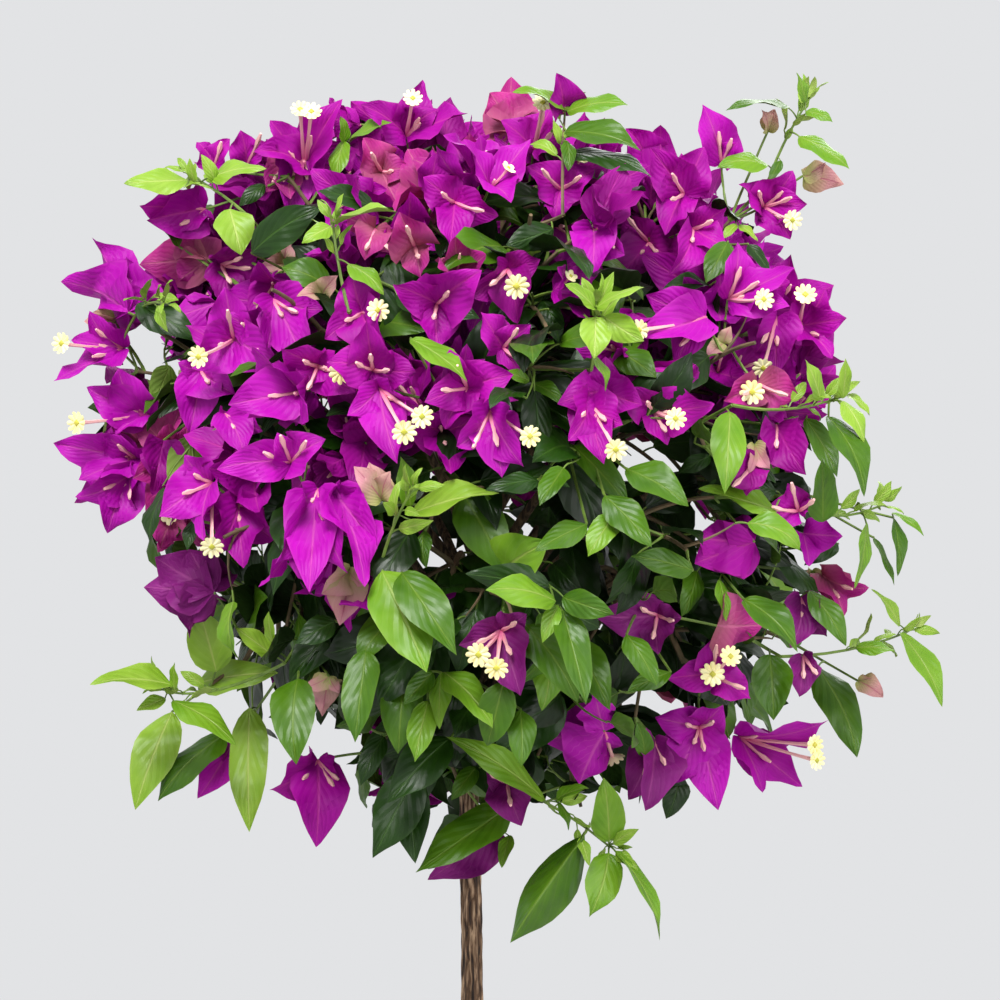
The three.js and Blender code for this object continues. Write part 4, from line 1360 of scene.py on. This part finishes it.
def grow_chosen_lanterns():
    for tint, near, place, tips, *stars in CHOSEN_LANTERNS:
        grow_chosen_lantern(BRACTS[tint], near, place, tips, stars, 1.0, FLOWERS["shown_in_front"])
    for near, place, tips in YOUNG_LANTERNS:
        grow_chosen_lantern(YOUNG, near, place, tips, [], YOUNG_VIGOUR, 0.0)


grow_shoots()
grow_chosen_lanterns()
grow_chosen_leaves()


# ---- Sprays, which carry the rule on to finer twigs ----
def flowers_at(heading, draw):
    """Whether a spray that ends in this direction from the head's centre flowers."""
    azimuth, elevation = angles_of(heading)
    line = np.interp(azimuth, *zip(*BLOOM_LINE))
    least = BLOOM["least_in_front" if heading[1] < 0 else "least_behind"]
    chance = np.clip((elevation - line) / BLOOM["border"] + 0.5, least, BLOOM["most"])
    for patch_azimuth, patch_elevation, radius in GREEN_PATCHES:
        if direction(patch_azimuth, patch_elevation) @ heading > math.cos(math.radians(radius)):
            chance = BLOOM["in_patch"]
    return draw() < chance


def leaf_tint_by_painted_shade(depth, draw):
    """Painted shade: darker tints inside the head, and brighter ones towards its outside, which are partly
    painted light.
    """
    shares = next(shares for limit, shares in TINT_SHARES if depth < limit)
    chance = draw()
    for share, tint in zip(shares, LEAF_TINTS):
        if chance < share:
            return tint
    return "fresh"


def dress_with_leaves(index, line, row, draw):
    """Leaves alternate round a line from near its end back towards its root."""
    first, spacing, count, sizes, inset = LEAF_ROWS[row]
    turn = 360 * draw()
    for k in range(count):
        t = first - k * spacing / max(line.length, 1)
        if t < 0.05:
            return
        root = line.on_curve(t)
        depth = np.linalg.norm(root - HEAD_CENTRE) / reach_of[index]
        size = lerp(sizes[0], sizes[1], min(1, k / 3)) * draw.between(0.8, 1.1)
        away = 30 if t > 0.97 else 55
        shade = leaf_tint_by_painted_shade(depth, draw)
        for attempt in range(3):
            bearing = turn + k * GOLDEN_ANGLE + attempt * 60
            if grow_leaf(root, line.along_curve(t), bearing, size, shade, draw, away, inset):
                break


def plan_sprays(mass):
    """Where the sprays of a mass end, by the growth rule, and which of them flower."""
    draw, index = mass.draw, mass.index
    body = BODY.get(mass.name, reach_of[index])
    fullness = FULLNESS.get(mass.name, 1.0)
    plan = []
    for i in range(SPRAY["count"]):
        away = SPRAY["spread"] * math.sqrt((i + 0.5) / SPRAY["count"])
        heading = turned(out_of[index], away, i * GOLDEN_ANGLE + SPRAY["wander"] * (draw() - 0.5))
        share = draw.between(SPRAY["shortest"], 1)
        end = HEAD_CENTRE + heading * (body - SPRAY["overhang"]) * share
        if in_cell(index, end, -2) and draw() < fullness:
            plan.append((end, flowers_at(heading, draw)))
    return plan


def grow_spray(mass, end, in_bloom):
    """A spray and what it carries. Its wood is left out where nothing found room on it."""
    draw, index = mass.draw, mass.index
    spray = mass.spray_to(end)
    if spray.length < SPRAY["least"]:
        spray = mass.spray_to(end + unit(end - HEAD_CENTRE) * SPRAY["longer"])
    wood = WOOD if draw() < SPRAY["brown"] else GREEN_WOOD
    before = ROOM.count
    if in_bloom:
        tint = SPRAY_TINTS[int(draw() * TINT_RANGE)]
        grow_panicle(spray, tint, draw)
        dress_with_leaves(index, spray, "flowering_spray", draw)
    else:
        dress_with_leaves(index, spray, "spray", draw)
    if ROOM.count > before:
        tube_between(wood, spray, SPRAY["base"], SPRAY["tip"])


def grow_inner_leaves(mass):
    """Leaves on the twigs themselves, which fill the head behind its outer ones."""
    for twig in [*mass.twigs, mass.spine]:
        flowering = flowers_at(unit(twig.end - HEAD_CENTRE), mass.draw)
        dress_with_leaves(mass.index, twig, "flowering_twig" if flowering else "twig", mass.draw)


plans = [plan_sprays(mass) for mass in masses]
for in_bloom in (True, False):
    for mass, plan in zip(masses, plans):
        for end, flowering in plan:
            if flowering == in_bloom:
                grow_spray(mass, end, in_bloom)
for mass in masses:
    grow_inner_leaves(mass)

twig_piece = WOOD.piece()
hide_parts(*["foliage_" + name for name, *_ in MASSES])
for heap in [GREEN_WOOD, *LEAVES.values(), *BRACTS.values(), YOUNG, TUBES, STARS, THROATS]:
    heap.piece()


# ---- Bark ----
def bark(name, dark, mid, pale, scale):
    """Stringy, furrowed bark: dark in the furrows, pale on the ridges."""
    material, tree, shader = new_material(name, {"Roughness": 0.85})
    stretch = tree.node("ShaderNodeMapping", {"Vector": tree.place(), "Scale": (1, 1, 0.11)})
    noise = tree.noise(stretch.outputs[0], scale, 8, Roughness=0.55, Distortion=0.5)
    ramp = tree.node("ShaderNodeValToRGB", {"Fac": noise})
    first, last = ramp.color_ramp.elements
    first.position, first.color = 0.39, linear(*dark)
    last.position, last.color = 0.66, linear(*pale)
    ramp.color_ramp.elements.new(0.5).color = linear(*mid)
    relief = tree.bump(noise, 0.8, 0.001)
    tree.feed(shader, {"Base Color": ramp.outputs["Color"], "Normal": relief})
    return material


STEM_BARK = bark("stem_bark", (30, 17, 10), (92, 66, 45), (184, 154, 124), 660)
BOUGH_BARK = bark("bough_bark", (48, 38, 28), (88, 70, 48), (120, 100, 72), 700)


STEM_RELIEF = 0.85  # millimetres, where the stem is at its full width


def furrows(turn, z):
    """How far the bark stands out or in, from -1 to 1: long ridges that wander and break."""
    wander = 0.8 * math.sin(z / 31) + 0.5 * math.sin(z / 17 + 2) + 0.3 * math.sin(z / 7.3 + 1)
    ridge = 0.9 * abs(math.sin(3.5 * turn + wander))
    ridge += 0.4 * abs(math.sin(5.5 * turn - wander * 1.4 + z / 23))
    breaks = 0.3 * math.sin(z / 3.1 + 4 * math.sin(2 * turn)) * math.sin(z / 5.3 + 3 * turn)
    return ridge - 0.85 + breaks


def round_piece(name, parts, sides, steps, material):
    """Closed round limbs in one mesh: each part says where a turn and a share along it lie."""
    bm = closed_tubes(parts, sides, steps, MM, 1e-6)
    bmesh.ops.recalc_face_normals(bm, faces=bm.faces)
    for face in bm.faces:
        face.smooth = True
    mesh = bpy.data.meshes.new(name)
    bm.to_mesh(mesh)
    bm.free()
    return finished(name, mesh, [material], 80)


def on_stem(turn, share):
    """The surface of the stem, with its root flare and its furrows."""
    z = STEM_TOP * share**1.25
    flare = math.exp(-z / FLARE["rise"])
    lobe = 1 + FLARE["lobe_share"] * flare * math.cos(FLARE["lobes"] * (math.pi - turn))
    relief = STEM_RELIEF * furrows(turn, z) * min(1, stem_radius(z) / STEM_RADIUS["head_base"])
    radius = (stem_radius(z) + FLARE["spread"] * flare) * lobe + relief
    return stem_axis(z) + np.array([math.cos(turn), math.sin(turn), 0]) * radius


def on_bough(index):
    """The surface of one bough, with its knots and its grain."""
    bough = boughs[index]

    def part(turn, share):
        side, over = sides_of(bough.along_curve(share))
        knots = 1 + 0.12 * math.exp(-(((share * 5 + index * 0.37) % 1 - 0.5) ** 2) / 0.01)
        grain = 1 + 0.08 * math.sin(5 * turn + 9 * share)
        radius = lerp(BOUGH["base"], BOUGH["tip"], share) * knots * grain
        return bough.on_curve(share) + (math.cos(turn) * side + math.sin(turn) * over) * radius

    return part


stem = round_piece("stem_bark", [on_stem], 64, 330, STEM_BARK)
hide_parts("stem")
bough_parts = [on_bough(index) for index in range(len(boughs))]
limbs = round_piece("bough_bark", bough_parts, 14, 30, BOUGH_BARK)
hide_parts(*["bough_" + name for name, *_ in MASSES])


# ---- Light and floor ----
LIT = (0, 0, 0.53)  # what the lamps point at, in metres, as their places are


def area_light(name, place, size, power):
    light = placed(name, bpy.data.lights.new(name, "AREA"))
    light.data.size = size
    light.data.energy = power
    light.location = place
    away = np.array(place) - np.array(LIT)
    yaw = math.atan2(away[0], -away[1])
    pitch = math.atan2(math.hypot(away[0], away[1]), away[2])
    light.rotation_euler = (pitch, 0, yaw)


def make_stage():
    bm = bmesh.new()
    bmesh.ops.create_circle(bm, cap_ends=True, segments=96, radius=1.3)
    mesh = bpy.data.meshes.new("floor")
    bm.to_mesh(mesh)
    bm.free()
    finish = {"Base Color": linear(176, 175, 173), "Roughness": 0.8}
    mesh.materials.append(new_material("floor_finish", finish)[0])
    floor = placed("floor", mesh)
    floor.location.z = -0.0005
    world = bpy.data.worlds.new("soft_light")
    world.use_nodes = True
    tree = Tree(world.node_tree)
    tree.feed(tree.nodes["Background"], {"Color": linear(226, 227, 229), "Strength": 1.0})
    bpy.context.scene.world = world


make_stage()
area_light("key", (-0.35, -1.4, 2.0), 0.8, 53)
area_light("fill", (1.4, -1.2, 0.9), 1.2, 15)
area_light("back", (0.5, 1.4, 1.7), 1.0, 18)
bpy.context.scene.view_settings.view_transform = "Standard"
